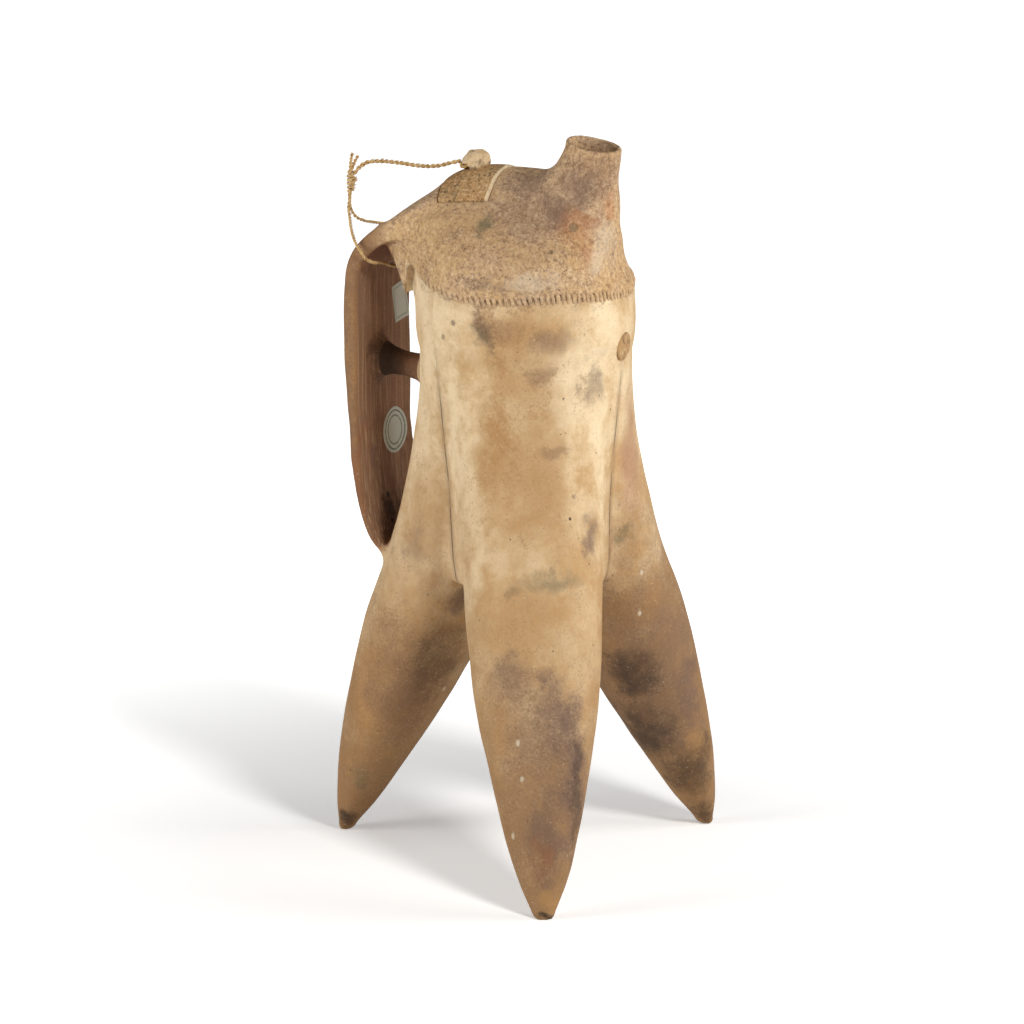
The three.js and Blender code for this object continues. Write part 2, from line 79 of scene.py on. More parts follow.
# Height over the seam, reach to the spout's side, to the handle's side, half width and squareness.
DOME_SHAPE = [
    (0, 1, 1, 1, 2), (0.2, 0.93, 0.995, 0.93, 2.2), (0.41, 0.93, 0.955, 0.8, 2.5),
    (0.575, 0.9, 0.9, 0.63, 3), (0.72, 0.86, 0.82, 0.475, 3.4), (0.835, 0.82, 0.75, 0.36, 3.2),
    (0.92, 0.73, 0.6, 0.26, 2.8), (0.975, 0.55, 0.4, 0.15, 2.4), (1, 0.3, 0.2, 0.06, 2),
]
# Height, distance of the tube's middle from the axis and radius.
SPOUT_SHAPE = [
    (0, 0.6, 0.8), (0.137, 0.7, 0.95), (0.3, 0.75, 1.02), (0.507, 0.79, 1.1), (0.703, 0.84, 0.97),
    (0.806, 0.91, 0.86), (0.884, 0.96, 0.8), (0.95, 0.99, 0.762), (1, 1, 0.766),
]
# Distance out from the body, height over the lower end, half width and the edge's thickness.
STRAP_SHAPE = [
    (-0.373, 0.985, 0.5, 1), (-0.155, 0.985, 0.78, 1), (0.079, 0.977, 0.96, 1), (0.312, 0.952, 1, 1),
    (0.589, 0.918, 1, 1), (0.808, 0.876, 1, 1), (0.942, 0.827, 1, 1), (0.994, 0.762, 1, 1),
    (1, 0.67, 1, 1), (0.977, 0.551, 1, 0.87), (0.918, 0.389, 1, 0.7), (0.866, 0.259, 0.98, 0.66),
    (0.808, 0.168, 0.9, 0.66), (0.72, 0.092, 0.75, 0.66), (0.574, 0.038, 0.52, 0.66),
    (0.341, 0, 0.3, 0.66),
]

# How far the dome's lower edge sags under the seam's plane: degrees round the body, from the spout,
# and metres.
SEAM_SAG = [
    (-180, 0), (-150, 0.0008), (-123, 0.0052), (-93, 0.0054), (-70, 0.0031), (-49, 0.0005),
    (-20, 0.0008), (9, 0.0022), (45, 0.0008), (90, 0), (180, 0),
]

# The cord's route, in metres from the body's axis.
TETHER = [
    (-0.0343, 0, 0.3387), (-0.037, -0.002, 0.3384), (-0.0445, -0.004, 0.3363),
    (-0.0531, -0.0055, 0.3357), (-0.0633, -0.007, 0.3364), (-0.0735, -0.008, 0.3365),
    (-0.08, -0.009, 0.3354), (-0.0836, -0.01, 0.3329), (-0.0859, -0.0108, 0.3299),
]
KNOB_LOOP = [
    (-0.033, -0.0016, 0.3383), (-0.0314, -0.0052, 0.3378), (-0.0293, -0.0074, 0.3379),
    (-0.0275, -0.0063, 0.3382), (-0.02735, 0, 0.3382), (-0.0275, 0.0063, 0.3382),
    (-0.0293, 0.0074, 0.3379), (-0.0314, 0.0052, 0.3378), (-0.033, 0.0016, 0.3383),
]
HANDLE_LOOP = [
    (-0.0876, -0.0109, 0.3222), (-0.0882, -0.0111, 0.3175), (-0.0878, -0.0109, 0.3125),
    (-0.0859, -0.009, 0.3083), (-0.0835, -0.0056, 0.306), (-0.0822, 0.001, 0.3041),
    (-0.081, 0.008, 0.3023), (-0.0796, 0.015, 0.3009), (-0.0779, 0.0234, 0.3006),
    (-0.0759, 0.0298, 0.298), (-0.0743, 0.031, 0.2915), (-0.072, 0.0292, 0.2848),
    (-0.0711, 0.022, 0.2816), (-0.0703, 0.01, 0.2823), (-0.0695, -0.004, 0.285),
    (-0.0693, -0.014, 0.2886), (-0.0693, -0.023, 0.2904), (-0.0697, -0.031, 0.2944),
    (-0.0727, -0.032, 0.2993), (-0.0776, -0.0275, 0.303), (-0.0824, -0.021, 0.3066),
    (-0.0859, -0.0155, 0.3098), (-0.0877, -0.0133, 0.3135), (-0.0873, -0.0131, 0.318),
    (-0.0877, -0.0132, 0.3222),
]
TAIL_LONG = [(-0.0877, -0.0119, 0.3302), (-0.0871, -0.0122, 0.335), (-0.0862, -0.0123, 0.34)]
TAIL_SHORT = [(-0.0884, -0.0093, 0.33), (-0.0873, -0.0086, 0.334), (-0.0852, -0.0086, 0.338)]
KNOT_PLACE = (-0.0874, -0.0114, 0.3262)
# The knot: a strand wrapped round the others, its turns, radius, swelling in the middle and length,
# and a second strand across it.
KNOT_TURNS, KNOT_RADIUS, KNOT_SWELL, KNOT_LENGTH = 4.6, 0.0011, 0.0003, 0.0084
KNOT_ACROSS = [(0.0014, 0.0012, 0.0016), (0.0019, 0.0003, 0.0002), (0.0008, -0.0016, -0.0016)]
# Hairs to the square metre of cord, and one hair: its ends and its radius.
FUZZ, LOOP_FUZZ, KNOT_FUZZ = 500000.0, 150000.0, 900000.0
HAIR_START, HAIR_END, HAIR_RADIUS = (0, 0, -0.0001), (0.0011, 0, 0.0007), 0.00006
# The cord's radius for which its lay is given.
LAY_RADIUS = 0.00105

# How the forms run into each other.
STRUT_FILLET, WEB_FILLET, ROOT_FILLET, NECK_FILLET, BORE_FILLET = 0.005, 0.004, 0.018, 0.006, 0.004
# The dome's form goes on under the seam's plane, from this far over its lower edge, and its hollow
# starts this far over it.
SKIRT_START, SKIRT_ROUND, HOLLOW_START = 0.0016, 0.0008, 0.003
# Its join with the strap's root goes on this far under the edge, beyond this place.
HANG_DEPTH, HANG_START, HANG_RUN = 0.017, -0.047, 0.003
# Above this height the strap turns in to its root.
VAULT_HEIGHT = 0.28

# Where the strap parts from the body at its top and the strut from both, and where its foot leaves
# the leg, with the boxes that those cuts are limited to.
ROOT_X, STRUT_X = -0.0545, -0.0745
FOOT_POINT, FOOT_AWAY = (-0.069, 0, 0.160), (-0.0220, 0, 0.0075)
TOP_ZONE = ((-1, -1, 0.216), (1, 1, 1))
FOOT_ZONE = ((-1, -1, 0.125), (-0.05, 1, 0.166))
STRUT_ZONE = ((-1, -0.017, 0.222), (1, 0.017, 0.256))

# The box that each piece is worked out in, from the body's axis.
BOXES = {
    "rear_leg": ((-0.107, -0.05, -0.005), (0.008, 0.05, 0.301)),
    "left_leg": ((-0.034, -0.006, -0.005), (0.074, 0.099, 0.301)),
    "right_leg": ((-0.034, -0.099, -0.005), (0.074, 0.006, 0.301)),
    "dome": ((-0.064, -0.056, 0.278), (0.058, 0.056, 0.346)),
    "spout": ((0.006, -0.03, 0.308), (0.058, 0.03, 0.362)),
    "strap": ((-0.093, -0.034, 0.128), (-0.046, 0.034, 0.326)),
    "strut": ((-0.08, -0.022, 0.216), (-0.046, 0.022, 0.262)),
    "lid": ((-0.046, -0.03, 0.31), (-0.002, 0.03, 0.348)),
    "knob": ((-0.036, -0.01, 0.33), (-0.012, 0.01, 0.352)),
}
# A point by which a piece is known among what the cuts leave.
SEEDS = {
    "dome": (0.03, -0.045, 0.3), "spout": (0.0362, -0.0128, 0.352), "strap": (-0.085, 0, 0.26),
    "strut": (-0.064, 0, 0.242), "lid": (-0.024, 0.02, 0.33), "knob": (-0.024, 0, 0.345),
}

# The lobes lie this far inside the round body.
LOBE_INSET = 0.0003
# Towards the shoulder the creases' fillet runs out over this height, down to this share.
CREASE_RUN, CREASE_LEAST = 0.03, 0.02
# The underside's dip between axis and edge, as shares of its reach and of its drop.
UNDERSIDE_SHAPE = [(0, 0), (0.45, 0.12), (0.75, 0.5), (0.92, 0.9), (1, 1)]
# How much wider the bore is at the lip, and over which share of the spout's height it widens.
BORE_FLARE, FLARE_START, FLARE_RUN = 0.0012, 0.86, 0.14
# The strut is raised by this much and is narrower across by this factor. Its flare from the strap to
# the body, as shares of its length and of the flare.
STRUT_RAISE, STRUT_NARROW = 0.0005, 1.08
FLARE_SHAPE = [(0, 1), (0.17, 0.8), (0.34, 0.2), (0.52, 0), (0.72, 0.15), (0.9, 0.75), (1, 0.9)]
# Rounded edges of the feet, the hollow's tips and the mouth, then of the strap and its sides, of the
# web and the lid's corners, and of the fill hole.
FOOT_ROUND, TIP_ROUND, MOUTH_ROUND = 0.002, 0.006, 0.0016
STRAP_ROUND, SIDE_ROUND, WEB_ROUND, CORNER_ROUND, HOLE_ROUND = 0.003, 0.004, 0.004, 0.002, 0.0012
# The lid's rounded faces and edges, and its lumps: its small ones, their share, and those of its edge.
FACE_ROUND, LID_EDGE, LID_LUMP, LID_SHARE, EDGE_LUMP, EDGE_DEPTH = 0.0012, 0.0016, 0.006, 0.6, 0.003, 0.0001
# The knob: its chips' depth and two sizes, how much smaller its ball is made for them and how much
# lower it stands. Its string hole lies aside, by a share of the knob's radius, and off the lid, and has
# a rounded rim, as the knob's seat has.
CHIP_DEPTH, BIG_CHIP, SMALL_CHIP, CHIP_LOSS, KNOB_LOWER = 0.0003, 0.004, 0.0018, 0.0001, 0.0008
HOLE_ASIDE, HOLE_OFF, RIM_ROUND, SEAT_ROUND = 0.42, 0.0003, 0.0008, 0.0005
# The pellet's box and the spacing of its points. Its edge is ragged, it sinks in the body, and a low
# peak stands in its middle.
PELLET_BACK, PELLET_FRONT, PELLET_BOX, PELLET_STEP = 0.044, 0.057, 0.0085, 0.0005
RAG_DEPTH, RAG_SIZE, PELLET_SINK, PELLET_DEPTH, PELLET_ROUND = 0.0004, 0.004, 0.0006, 0.0015, 0.0016
PEAK_PLACE, PEAK_RADIUS, PEAK_FILLET = 0.0024, 0.0016, 0.0015

# The potter's hand: lumps of two sizes, the share that the smaller ones have, and the rounded edges.
BIG_LUMP, SMALL_LUMP, SMALL_SHARE, EDGE = 0.02, 0.008, 0.45, 0.001
# The underside's edge lies this far inside the creases.
UNDERSIDE_INSET = 0.0046
# The strut runs this far into the strap and into the body.
STRUT_IN_STRAP, STRUT_IN_BODY = 0.004, 0.003
# The web under the strap's root, from the body's side: its middle, half its depth and its top.
WEB_MIDDLE, WEB_DEPTH, WEB_TOP = -0.0017, 0.0117, 0.024
# The lid's block through the roof, below and above the lid's middle.
BLOCK_BELOW, BLOCK_ABOVE = 0.018, 0.0072
# The band's points round the seam, and how far its middle stands off the body.
BAND_POINTS, BAND_OFF = 1460, 0.0002
# A label's squares along each side, its two faces off the clay, and where it is pressed on from.
LABEL_SQUARES, LABEL_FACES, LABEL_FROM = 24, (0.00045, -0.0001), 0.062
# The rear leg wears the dome's coat beyond this place, and the strap's coat from here outwards, where
# it is above the strap's foot.
WEB_X, WEB_Z = -0.0495, 0.278
COAT_X, COAT_RUN, COAT_Z, COAT_RISE = -0.0605, 0.0085, 0.143, 0.012

# Where a leg's burnt clay starts and where it is full, above the floor, and its strength.
BURNT = {"right_leg": (0.17, 0.02, 0.9), "rear_leg": (0.18, 0.04, 0.9), "left_leg": (0.22, 0.09, 0.95)}
# Linear colours of the grit and the pits, of the fibre's strands and of stains on the paper.
DARK_GRIT, PALE_GRIT, PIT = (0.12, 0.08, 0.055, 1), (0.85, 0.76, 0.62, 1), (0.05, 0.035, 0.025, 1)
PALE_STRAND, DARK_STRAND, AGED = (0.82, 0.64, 0.36, 1), (0.26, 0.14, 0.05, 1), (0.62, 0.55, 0.4, 1)

# A mark smaller than this many pixels is a pit, and the others spread by this factor as they fade.
PIT_SIZE, MARK_SPREAD = 7, 1.6

# The picture's width in pixels and the camera's in millimetres.
PICTURE, SENSOR = 1024, 36
# The floor whitens from this far off the object to this far.
GLOW_START, GLOW_END, FLOOR_RADIUS = 0.08, 0.52, 9


# Sizes and colours


def length(name, value, text):
    return FloatProperty(name=name, description=text, default=value, unit="LENGTH", precision=5)


def number(name, value, text):
    return FloatProperty(name=name, description=text, default=value)


def turn(name, degrees, text):
    return FloatProperty(name=name, description=text, default=math.radians(degrees), subtype="ANGLE")


def position(name, value, text):
    return FloatVectorProperty(name=name, description=text, default=value, subtype="TRANSLATION")


def tone(red, green, blue):
    """A screen colour, 0 to 255, as the linear colour that the shaders use."""
    shares = [value / 255 for value in (red, green, blue)]
    return tuple(v / 12.92 if v < 0.04045 else ((v + 0.055) / 1.055) ** 2.4 for v in shares)


def colour(name, value, text):
    return FloatVectorProperty(
        name=name, description=text, default=tone(*value), subtype="COLOR", size=3, min=0, max=1
    )


class EwerBody(bpy.types.PropertyGroup):
    """Legs, body and the seam over them"""

    foot_circle: length("Foot circle", 0.1015, "From the legs' common axis to each foot")
    foot_half: length("Foot half width", 0.0042, "The worn flat on which a leg stands")
    leg_half: length("Leg half width", 0.033, "Where the legs part")
    leg_wall: length("Leg wall", 0.005, "Thickness of a leg's clay")
    solid_tip: length("Solid tip", 0.022, "A leg is solid up to this height")
    leg_lean: length("Lean", 0.0036, "The feet stand this much further towards the spout")
    shoulder: length("Shoulder height", 0.252, "The three lobes have become one round body here")
    crotch: length("Crotch height", 0.157, "Underside of the body, on the axis")
    crotch_drop: length("Crotch drop", 0.016, "The underside's edge hangs this much lower")
    crease_radius: length("Crease radius", 0.044, "The body between two lobes")
    radius: length("Body radius", 0.0506, "At the seam")
    wall: length("Body wall", 0.0045, "Thickness of the body's clay")
    crease_fillet: length("Crease fillet", 0.003, "How softly two lobes meet")
    seam_height: length("Seam height", 0.2902, "Of the seam under the dome, on the axis")
    seam_fall: length("Seam fall", 0.0101, "From the handle's side to the spout's")


class EwerDome(bpy.types.PropertyGroup):
    """Dome, spout and lid"""

    top: length("Dome top", 0.3386, "Height of the ridge")
    wall: length("Dome wall", 0.0045, "Thickness of the dome's clay")
    lip: length("Dome lip", 0.0009, "The dome's lower edge stands this far over the body")
    spout_reach: length("Spout reach", 0.0362, "From the body's axis to the middle of the mouth")
    spout_height: length("Spout height", 0.3539, "Middle of the mouth")
    spout_fall: length("Spout lip fall", 0.005, "The mouth slopes down away from the handle")
    spout_base: length("Spout base radius", 0.0175, "The tube where it leaves the dome")
    spout_root: length("Spout root", 0.046, "The tube starts this far below the dome's top")
    mouth_radius: length("Mouth radius", 0.0134, "Outside of the lip")
    mouth_wall: length("Mouth wall", 0.0034, "Thickness of the clay below the lip")
    cut_turn: turn("Spout joint", 31, "Slope of the joint between dome and spout")
    cut_back: length("Spout joint back", 0.023, "A point of that joint, back from the mouth")
    cut_drop: length("Spout joint drop", 0.0141, "And below the mouth")
    lid_centre: length("Lid centre", -0.0252, "Along the ridge, from the body's axis")
    lid_length: length("Lid length", 0.0328, "Along the ridge")
    lid_width: length("Lid width", 0.052, "Across the ridge")
    lid_tilt: turn("Lid tilt", 18, "Of the way in which it lifts")
    lid_taper: length("Lid taper", 0.0012, "Its edge slopes in by this much through the wall")
    lid_fit: length("Lid fit", 0.00035, "Play round the lid")
    lid_proud: length("Lid proud", 0.0008, "It stands this far over the dome")
    knob_radius: length("Knob radius", 0.0068, "Half the knob's width")
    knob_half: length("Knob half height", 0.0056, "Half the knob's height")
    knob_sink: length("Knob sink", 0.0022, "The knob sits this deep in the lid")
    string_hole: length("String hole", 0.0017, "Radius of the hole through the knob")


class EwerHandle(bpy.types.PropertyGroup):
    """Strap handle, its strut, the pellet and the labels"""

    stand_off: length("Stand-off", 0.0343, "From the body to the strap's outer side")
    foot: length("Strap foot", 0.136, "Height of its lower end, in the rear leg")
    drop: length("Strap drop", 0.0176, "Its upper end lies this far below the dome's top")
    half_width: length("Strap half width", 0.029, "Half the strap's width")
    thickness: length("Strap thickness", 0.0083, "At its edges")
    gutter: length("Gutter depth", 0.003, "The side towards the body is hollowed")
    crown: length("Crown", 0.0015, "The outer side is rounded by this much")
    strut_height: length("Strut height", 0.239, "Where it leaves the strap")
    strut_fall: length("Strut fall", 0.005, "It comes down by this much towards the body")
    strut_radius: length("Strut radius", 0.006, "At its narrowest")
    strut_flare: length("Strut flare", 0.0042, "It widens by this much at both ends")
    web_drop: length("Web drop", 0.0113, "Clay under the strap's root comes down this far below the seam")
    web_reach: length("Web reach", 0.0114, "And slopes out by this much")
    web_rise: length("Web rise", 0.015, "Over this height")
    web_half: length("Web half width", 0.0235, "Half its width")
    pellet_drop: length("Pellet drop", 0.0322, "The pellet's middle lies this far below the seam")
    pellet_radius: length("Pellet radius", 0.007, "Half the pellet's width")
    pellet_proud: length("Pellet proud", 0.003, "It stands this far off the body")
    round_radius: length("Round label radius", 0.0112, "Half its width")
    round_height: length("Round label height", 0.2, "Its middle")
    round_offset: length("Round label offset", 0.0126, "Away from the camera, from the strap's middle")
    square_width: length("Square label width", 0.0112, "Across the strap")
    square_length: length("Square label length", 0.0188, "Along the strap")
    square_height: length("Square label height", 0.2622, "Its middle")
    square_offset: length("Square label offset", 0.0198, "Away from the camera, from the strap's middle")
    square_turn: turn("Square label turn", 11, "It was stuck on crooked")


class EwerDetail(bpy.types.PropertyGroup):
    """Seam notches, cord and the fineness of the clay"""

    notch_count: IntProperty(name="Notches", description="Pressed round the seam", default=108, min=20)
    notch_depth: length("Notch depth", 0.0014, "How deep a notch is pressed")
    band_half: length("Band half height", 0.0026, "Half the pressed band's height")
    band_proud: length("Band proud", 0.0014, "How far the band stands off the body")
    tether_radius: length("Tether radius", 0.00105, "Half the two-ply cord's width")
    strand_radius: length("Strand radius", 0.0008, "Half the thinner cord's width")
    lay_length: length("Lay", 0.0052, "Length of cord in which its plies turn once")
    leg_step: length("Leg grain", 0.0013, "Spacing of the points that shape a leg")
    top_step: length("Dome grain", 0.0009, "Spacing of the points that shape the dome")
    fine_step: length("Fine grain", 0.0006, "Spacing of the points that shape small pieces")
    hand_lumps: length("Hand lumps", 0.00025, "How uneven the potter's hand left the clay")


class EwerColours(bpy.types.PropertyGroup):
    """Clay, fibre and paper"""

    # Cream and ochre also paint highlights, and ochre, umber, russet and soot also paint shade, in the marks
    # and finishes below.
    cream: colour("Cream slip", (240, 217, 178), "The palest clay")
    sand: colour("Sand", (198, 161, 114), "Most of the body")
    ochre: colour("Ochre", (176, 134, 86), "Warm mottling")
    umber: colour("Umber", (130, 98, 74), "Brown clay of the dome")
    fawn: colour("Fawn", (214, 182, 146), "Pale clay of the dome")
    russet: colour("Russet", (140, 88, 58), "Red-brown clay in the handle")
    smoke: colour("Smoke", (116, 92, 78), "Purple-grey fire clouds")
    soot: colour("Soot", (46, 36, 30), "Near-black stains and hollows")
    moss: colour("Moss", (118, 106, 78), "Grey-green stains")
    chalk: colour("Chalk", (216, 198, 172), "Flakes and scraped clay")
    straw: colour("Straw", (204, 166, 108), "The cord's fibre")
    paper: colour("Paper", (222, 220, 204), "The two bare labels")
    pink: colour("Pink brown", (172, 128, 98), "The side of the far leg")
    blush: colour("Blush", (176, 112, 66), "Orange clay under the spout")
    ink: colour("Ring", (128, 140, 120), "The labels' plain lines")


class EwerStage(bpy.types.PropertyGroup):
    """Camera and light"""

    azimuth: turn("Azimuth", 26.97, "Of the camera, from straight along the Y axis")
    elevation: turn("Elevation", 14.54, "Of the camera above the horizon")
    distance: length("Distance", 3.8, "From the camera to its target")
    aside: length("Target aside", -0.0099, "The target's place across the picture")
    ahead: length("Target ahead", 0.0228, "And along the X axis")
    height: length("Target height", 0.1713, "And above the floor")
    lens: number("Lens", 279.8, "Focal length, in millimetres")
    key_place: position("Key place", (1.0, 1.7, 1.7), "Across, towards the camera and up")
    key_size: length("Key size", 0.5, "Its width")
    key_power: number("Key power", 38, "In watts")
    left_place: position("Left place", (-1.6, 0.5, 0.45), "Across, towards the camera and up")
    left_size: length("Left size", 0.8, "Its width")
    left_power: number("Left power", 15, "In watts")
    right_place: position("Right place", (1.6, 0.1, 0.6), "Across, towards the camera and up")
    right_size: length("Right size", 0.9, "Its width")
    right_power: number("Right power", 11, "In watts")
    sky: number("Sky", 0.13, "Strength of the light from all round")
    floor_glow: number("Floor glow", 0.31, "Whitens the floor in the picture")
    far_glow: number("Far glow", 0.9, "The same, away from the object")


SETTINGS = {
    "ewer_body": EwerBody,
    "ewer_dome": EwerDome,
    "ewer_handle": EwerHandle,
    "ewer_detail": EwerDetail,
    "ewer_colours": EwerColours,
    "ewer_stage": EwerStage,
}


def settings(name):
    return getattr(bpy.context.scene, "ewer_" + name)


def paint(name):
    """A colour of the list, as a shader takes it."""
    return (*getattr(settings("colours"), name), 1)


# Node trees


class Value:
    """One output of a node. Arithmetic on it adds Math nodes."""

    def __init__(self, tree, socket):
        self.tree, self.socket = tree, socket

    def __add__(self, other):
        return self.tree.math("ADD", self, other)

    def __sub__(self, other):
        return self.tree.math("SUBTRACT", self, other)

    def __rsub__(self, other):
        return self.tree.math("SUBTRACT", other, self)

    def __mul__(self, other):
        return self.tree.math("MULTIPLY", self, other)

    def __truediv__(self, other):
        return self.tree.math("DIVIDE", self, other)

    __radd__ = __add__
    __rmul__ = __mul__


class Tree:
    """A node tree under construction, for a material or for geometry."""

    def __init__(self, tree):
        self.tree = tree
        tree.nodes.clear()

    def node(self, kind, options=None, values=None, out=0):
        """Adds a node: its options first, then the values or links of its sockets, by name or number."""
        node = self.tree.nodes.new(kind)
        for name, value in (options or {}).items():
            setattr(node, name, value)
        for key, value in (values or {}).items():
            socket = self.find(node.inputs, key)
            for one in value if isinstance(value, list) else [value]:
                if isinstance(one, Value):
                    self.tree.links.new(one.socket, socket)
                else:
                    socket.default_value = one
        return Value(self, self.find(node.outputs, out)) if len(node.outputs) else None

    @staticmethod
    def find(sockets, key):
        if isinstance(key, int):
            return sockets[key]
        return next(socket for socket in sockets if socket.name == key and socket.enabled)

    def math(self, operation, *values):
        return self.node("ShaderNodeMath", {"operation": operation}, dict(enumerate(values)))

    def mix(self, first, second, share):
        """Mixes two colours, each given by its name in the list or as a shader takes it."""
        first, second = (paint(one) if isinstance(one, str) else one for one in (first, second))
        options = {"data_type": "RGBA", "blend_type": "MIX", "clamp_factor": True}
        return self.node("ShaderNodeMix", options, {0: share, 6: first, 7: second}, out=2)

    def vector(self, operation, first, second=(0, 0, 0), out=0):
        return self.node("ShaderNodeVectorMath", {"operation": operation}, {0: first, 1: second}, out)

    def scaled(self, vector, factor):
        return self.node("ShaderNodeVectorMath", {"operation": "SCALE"}, {0: vector, "Scale": factor})

    def part(self, vector, axis):
        return self.node("ShaderNodeSeparateXYZ", None, {0: vector}, axis)

    def combine(self, *parts):
        return self.node("ShaderNodeCombineXYZ", None, dict(enumerate(parts)))

    def attribute(self, name):
        return self.node("ShaderNodeAttribute", {"attribute_name": name}, out="Fac")

    def smooth(self, value, low, high):
        """0 below low and 1 above high, or the other way round where low is the greater."""
        values = {"Value": value, "From Min": low, "From Max": high}
        return self.node("ShaderNodeMapRange", {"interpolation_type": "SMOOTHSTEP"}, values)

    def noise(self, place, scale, detail=3.0, rough=0.55, shift=0.0, out=0):
        """Cloudy noise: scale is in lumps to the metre, and shift picks another part of it."""
        moved = self.vector("ADD", place, (shift, 0.7 * shift, -0.4 * shift)) if shift else place
        values = {"Vector": moved, "Scale": scale, "Detail": detail, "Roughness": rough}
        return self.node("ShaderNodeTexNoise", None, values, out)


class Finish(Tree):
    """A material whose pattern is set out in the object's own coordinates."""

    def __init__(self, name):
        self.material = bpy.data.materials.new(name)
        self.material.use_nodes = True
        super().__init__(self.material.node_tree)
        self.place = self.node("ShaderNodeTexCoord", out="Object")

    def ragged(self, reach, scale, shift):
        """The place, moved about by up to reach, so that what is drawn on it has a broken edge."""
        stir = self.noise(self.place, scale, 4.0, 0.6, shift, "Color")
        centred = self.vector("SUBTRACT", stir, (0.5, 0.5, 0.5))
        return self.vector("ADD", self.place, self.vector("MULTIPLY", centred, (2 * reach,) * 3))

    def spot(self, place, centre, across, tall, soft):
        """1 in the middle of an upright oval and 0 outside it."""
        off = self.vector("SUBTRACT", place, tuple(centre))
        size = self.vector("MULTIPLY", off, (1 / across, 1 / across, 1 / tall))
        return self.smooth(self.vector("LENGTH", size, out="Value"), 1, 1 - soft)

    def finish(self, base, roughness, height=None, depth=0.0003, **fixed):
        """Ends the material in one shader, with a bump of that depth in metres."""
        values = {"Base Color": base, "Roughness": roughness, "Specular IOR Level": 0.25, **fixed}
        if height is not None:
            values["Normal"] = self.node(
                "ShaderNodeBump", None, {"Strength": 1.0, "Distance": depth, "Height": height}
            )
        shader = self.node("ShaderNodeBsdfPrincipled", None, values)
        self.node("ShaderNodeOutputMaterial", None, {"Surface": shader})
        return self.material


class Growth(Tree):
    """A Geometry Nodes tree with named inputs, put on an object and turned into a plain mesh."""

    def __init__(self, name, inputs):
        tree = bpy.data.node_groups.new(name, "GeometryNodeTree")
        super().__init__(tree)
        tree.interface.new_socket("Geometry", in_out="INPUT", socket_type="NodeSocketGeometry")
        tree.interface.new_socket("Geometry", in_out="OUTPUT", socket_type="NodeSocketGeometry")
        self.keys = {}
        for label, kind in inputs.items():
            socket = tree.interface.new_socket(label, in_out="INPUT", socket_type="NodeSocket" + kind)
            self.keys[label] = socket.identifier
        self.group = tree.nodes.new("NodeGroupInput")

    def input(self, label):
        return Value(self, self.group.outputs[label])

    def store(self, geometry, name, value):
        """Keeps a value on each point under a name, for the material."""
        options = {"data_type": "FLOAT", "domain": "POINT"}
        values = {"Geometry": geometry, "Name": name, "Value": value}
        return self.node("GeometryNodeStoreNamedAttribute", options, values)

    def circle(self, count, radius):
        return self.node("GeometryNodeCurvePrimitiveCircle", None, {"Resolution": count, "Radius": radius})

    def swept(self, curve, profile, capped=True):
        values = {"Curve": curve, "Profile Curve": profile, "Fill Caps": capped}
        return self.node("GeometryNodeCurveToMesh", None, values)

    def end(self, geometry, material):
        real = self.node("GeometryNodeRealizeInstances", None, {"Geometry": geometry})
        done = self.node("GeometryNodeSetMaterial", None, {"Geometry": real, "Material": material})
        self.node("NodeGroupOutput", None, {0: done})

    def bake(self, name, mesh, values):
        """Runs the tree on a mesh and gives an object that holds the plain result."""
        carrier = bpy.data.objects.new(name + "_carrier", mesh)
        bpy.context.scene.collection.objects.link(carrier)
        modifier = carrier.modifiers.new("grow", "NODES")
        modifier.node_group = self.tree
        for label, value in values.items():
            modifier[self.keys[label]] = value
        depsgraph = bpy.context.evaluated_depsgraph_get()
        made = bpy.data.meshes.new_from_object(carrier.evaluated_get(depsgraph))
        bpy.data.objects.remove(carrier)
        made.name = name
        made.polygons.foreach_set("use_smooth", [True] * len(made.polygons))
        return show(name, made)


def show(name, mesh):
    made = bpy.data.objects.new(name, mesh)
    bpy.context.scene.collection.objects.link(made)
    return made


def dress(piece, body, node, material=None):
    """The piece gets its material, rides on a body and stands for its CAD node."""
    if material:
        piece.data.materials.append(material)
    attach(piece, body)
    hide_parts(node)


# Curves


def curve_through(points, steps):
    """Points on a smooth curve through the given ones, with that many steps to each span."""
    points = np.array(points, float)
    ends = [2 * points[0] - points[1], *points, 2 * points[-1] - points[-2]]
    out = []
    for a, b, c, d in zip(ends, ends[1:], ends[2:], ends[3:]):
        gaps = [max(np.linalg.norm(q - p), 1e-9) ** 0.5 for p, q in ((a, b), (b, c), (c, d))]
        t0, t1, t2, t3 = np.cumsum([0, *gaps])
        t = np.linspace(t1, t2, steps, endpoint=False)[:, None]
        ab, bc, cd = (
            ((hi - t) * p + (t - lo) * q) / (hi - lo)
            for p, q, lo, hi in ((a, b, t0, t1), (b, c, t1, t2), (c, d, t2, t3))
        )
        abc = ((t2 - t) * ab + (t - t0) * bc) / (t2 - t0)
        bcd = ((t3 - t) * bc + (t - t1) * cd) / (t3 - t1)
        out.append(((t2 - t) * abc + (t - t1) * bcd) / (t2 - t1))
    return np.vstack([*out, points[-1:]])


# Clay forms


def seam_sag(x, y):
    """How far the dome's lower edge hangs below the seam's plane, at a place round the body."""
    table = curve_through(SEAM_SAG, 8)
    return np.interp(np.degrees(np.arctan2(y, x)), table[:, 0], table[:, 1])


def over_edge(x, y, z):
    """Height over the dome's lower edge."""
    s = settings("body")
    return z - s.seam_height + s.seam_fall / (2 * s.radius) * x + seam_sag(x, y)


def joined(a, b, fillet):
    """Two solids as one, with a fillet in the crease between them."""
    near = np.maximum(fillet - np.abs(a - b), 0)
    return np.minimum(a, b) - near * near / (4 * fillet)


def shared(a, b, round_off):
    """What two solids share, with its edges rounded."""
    return -joined(-a, -b, round_off)


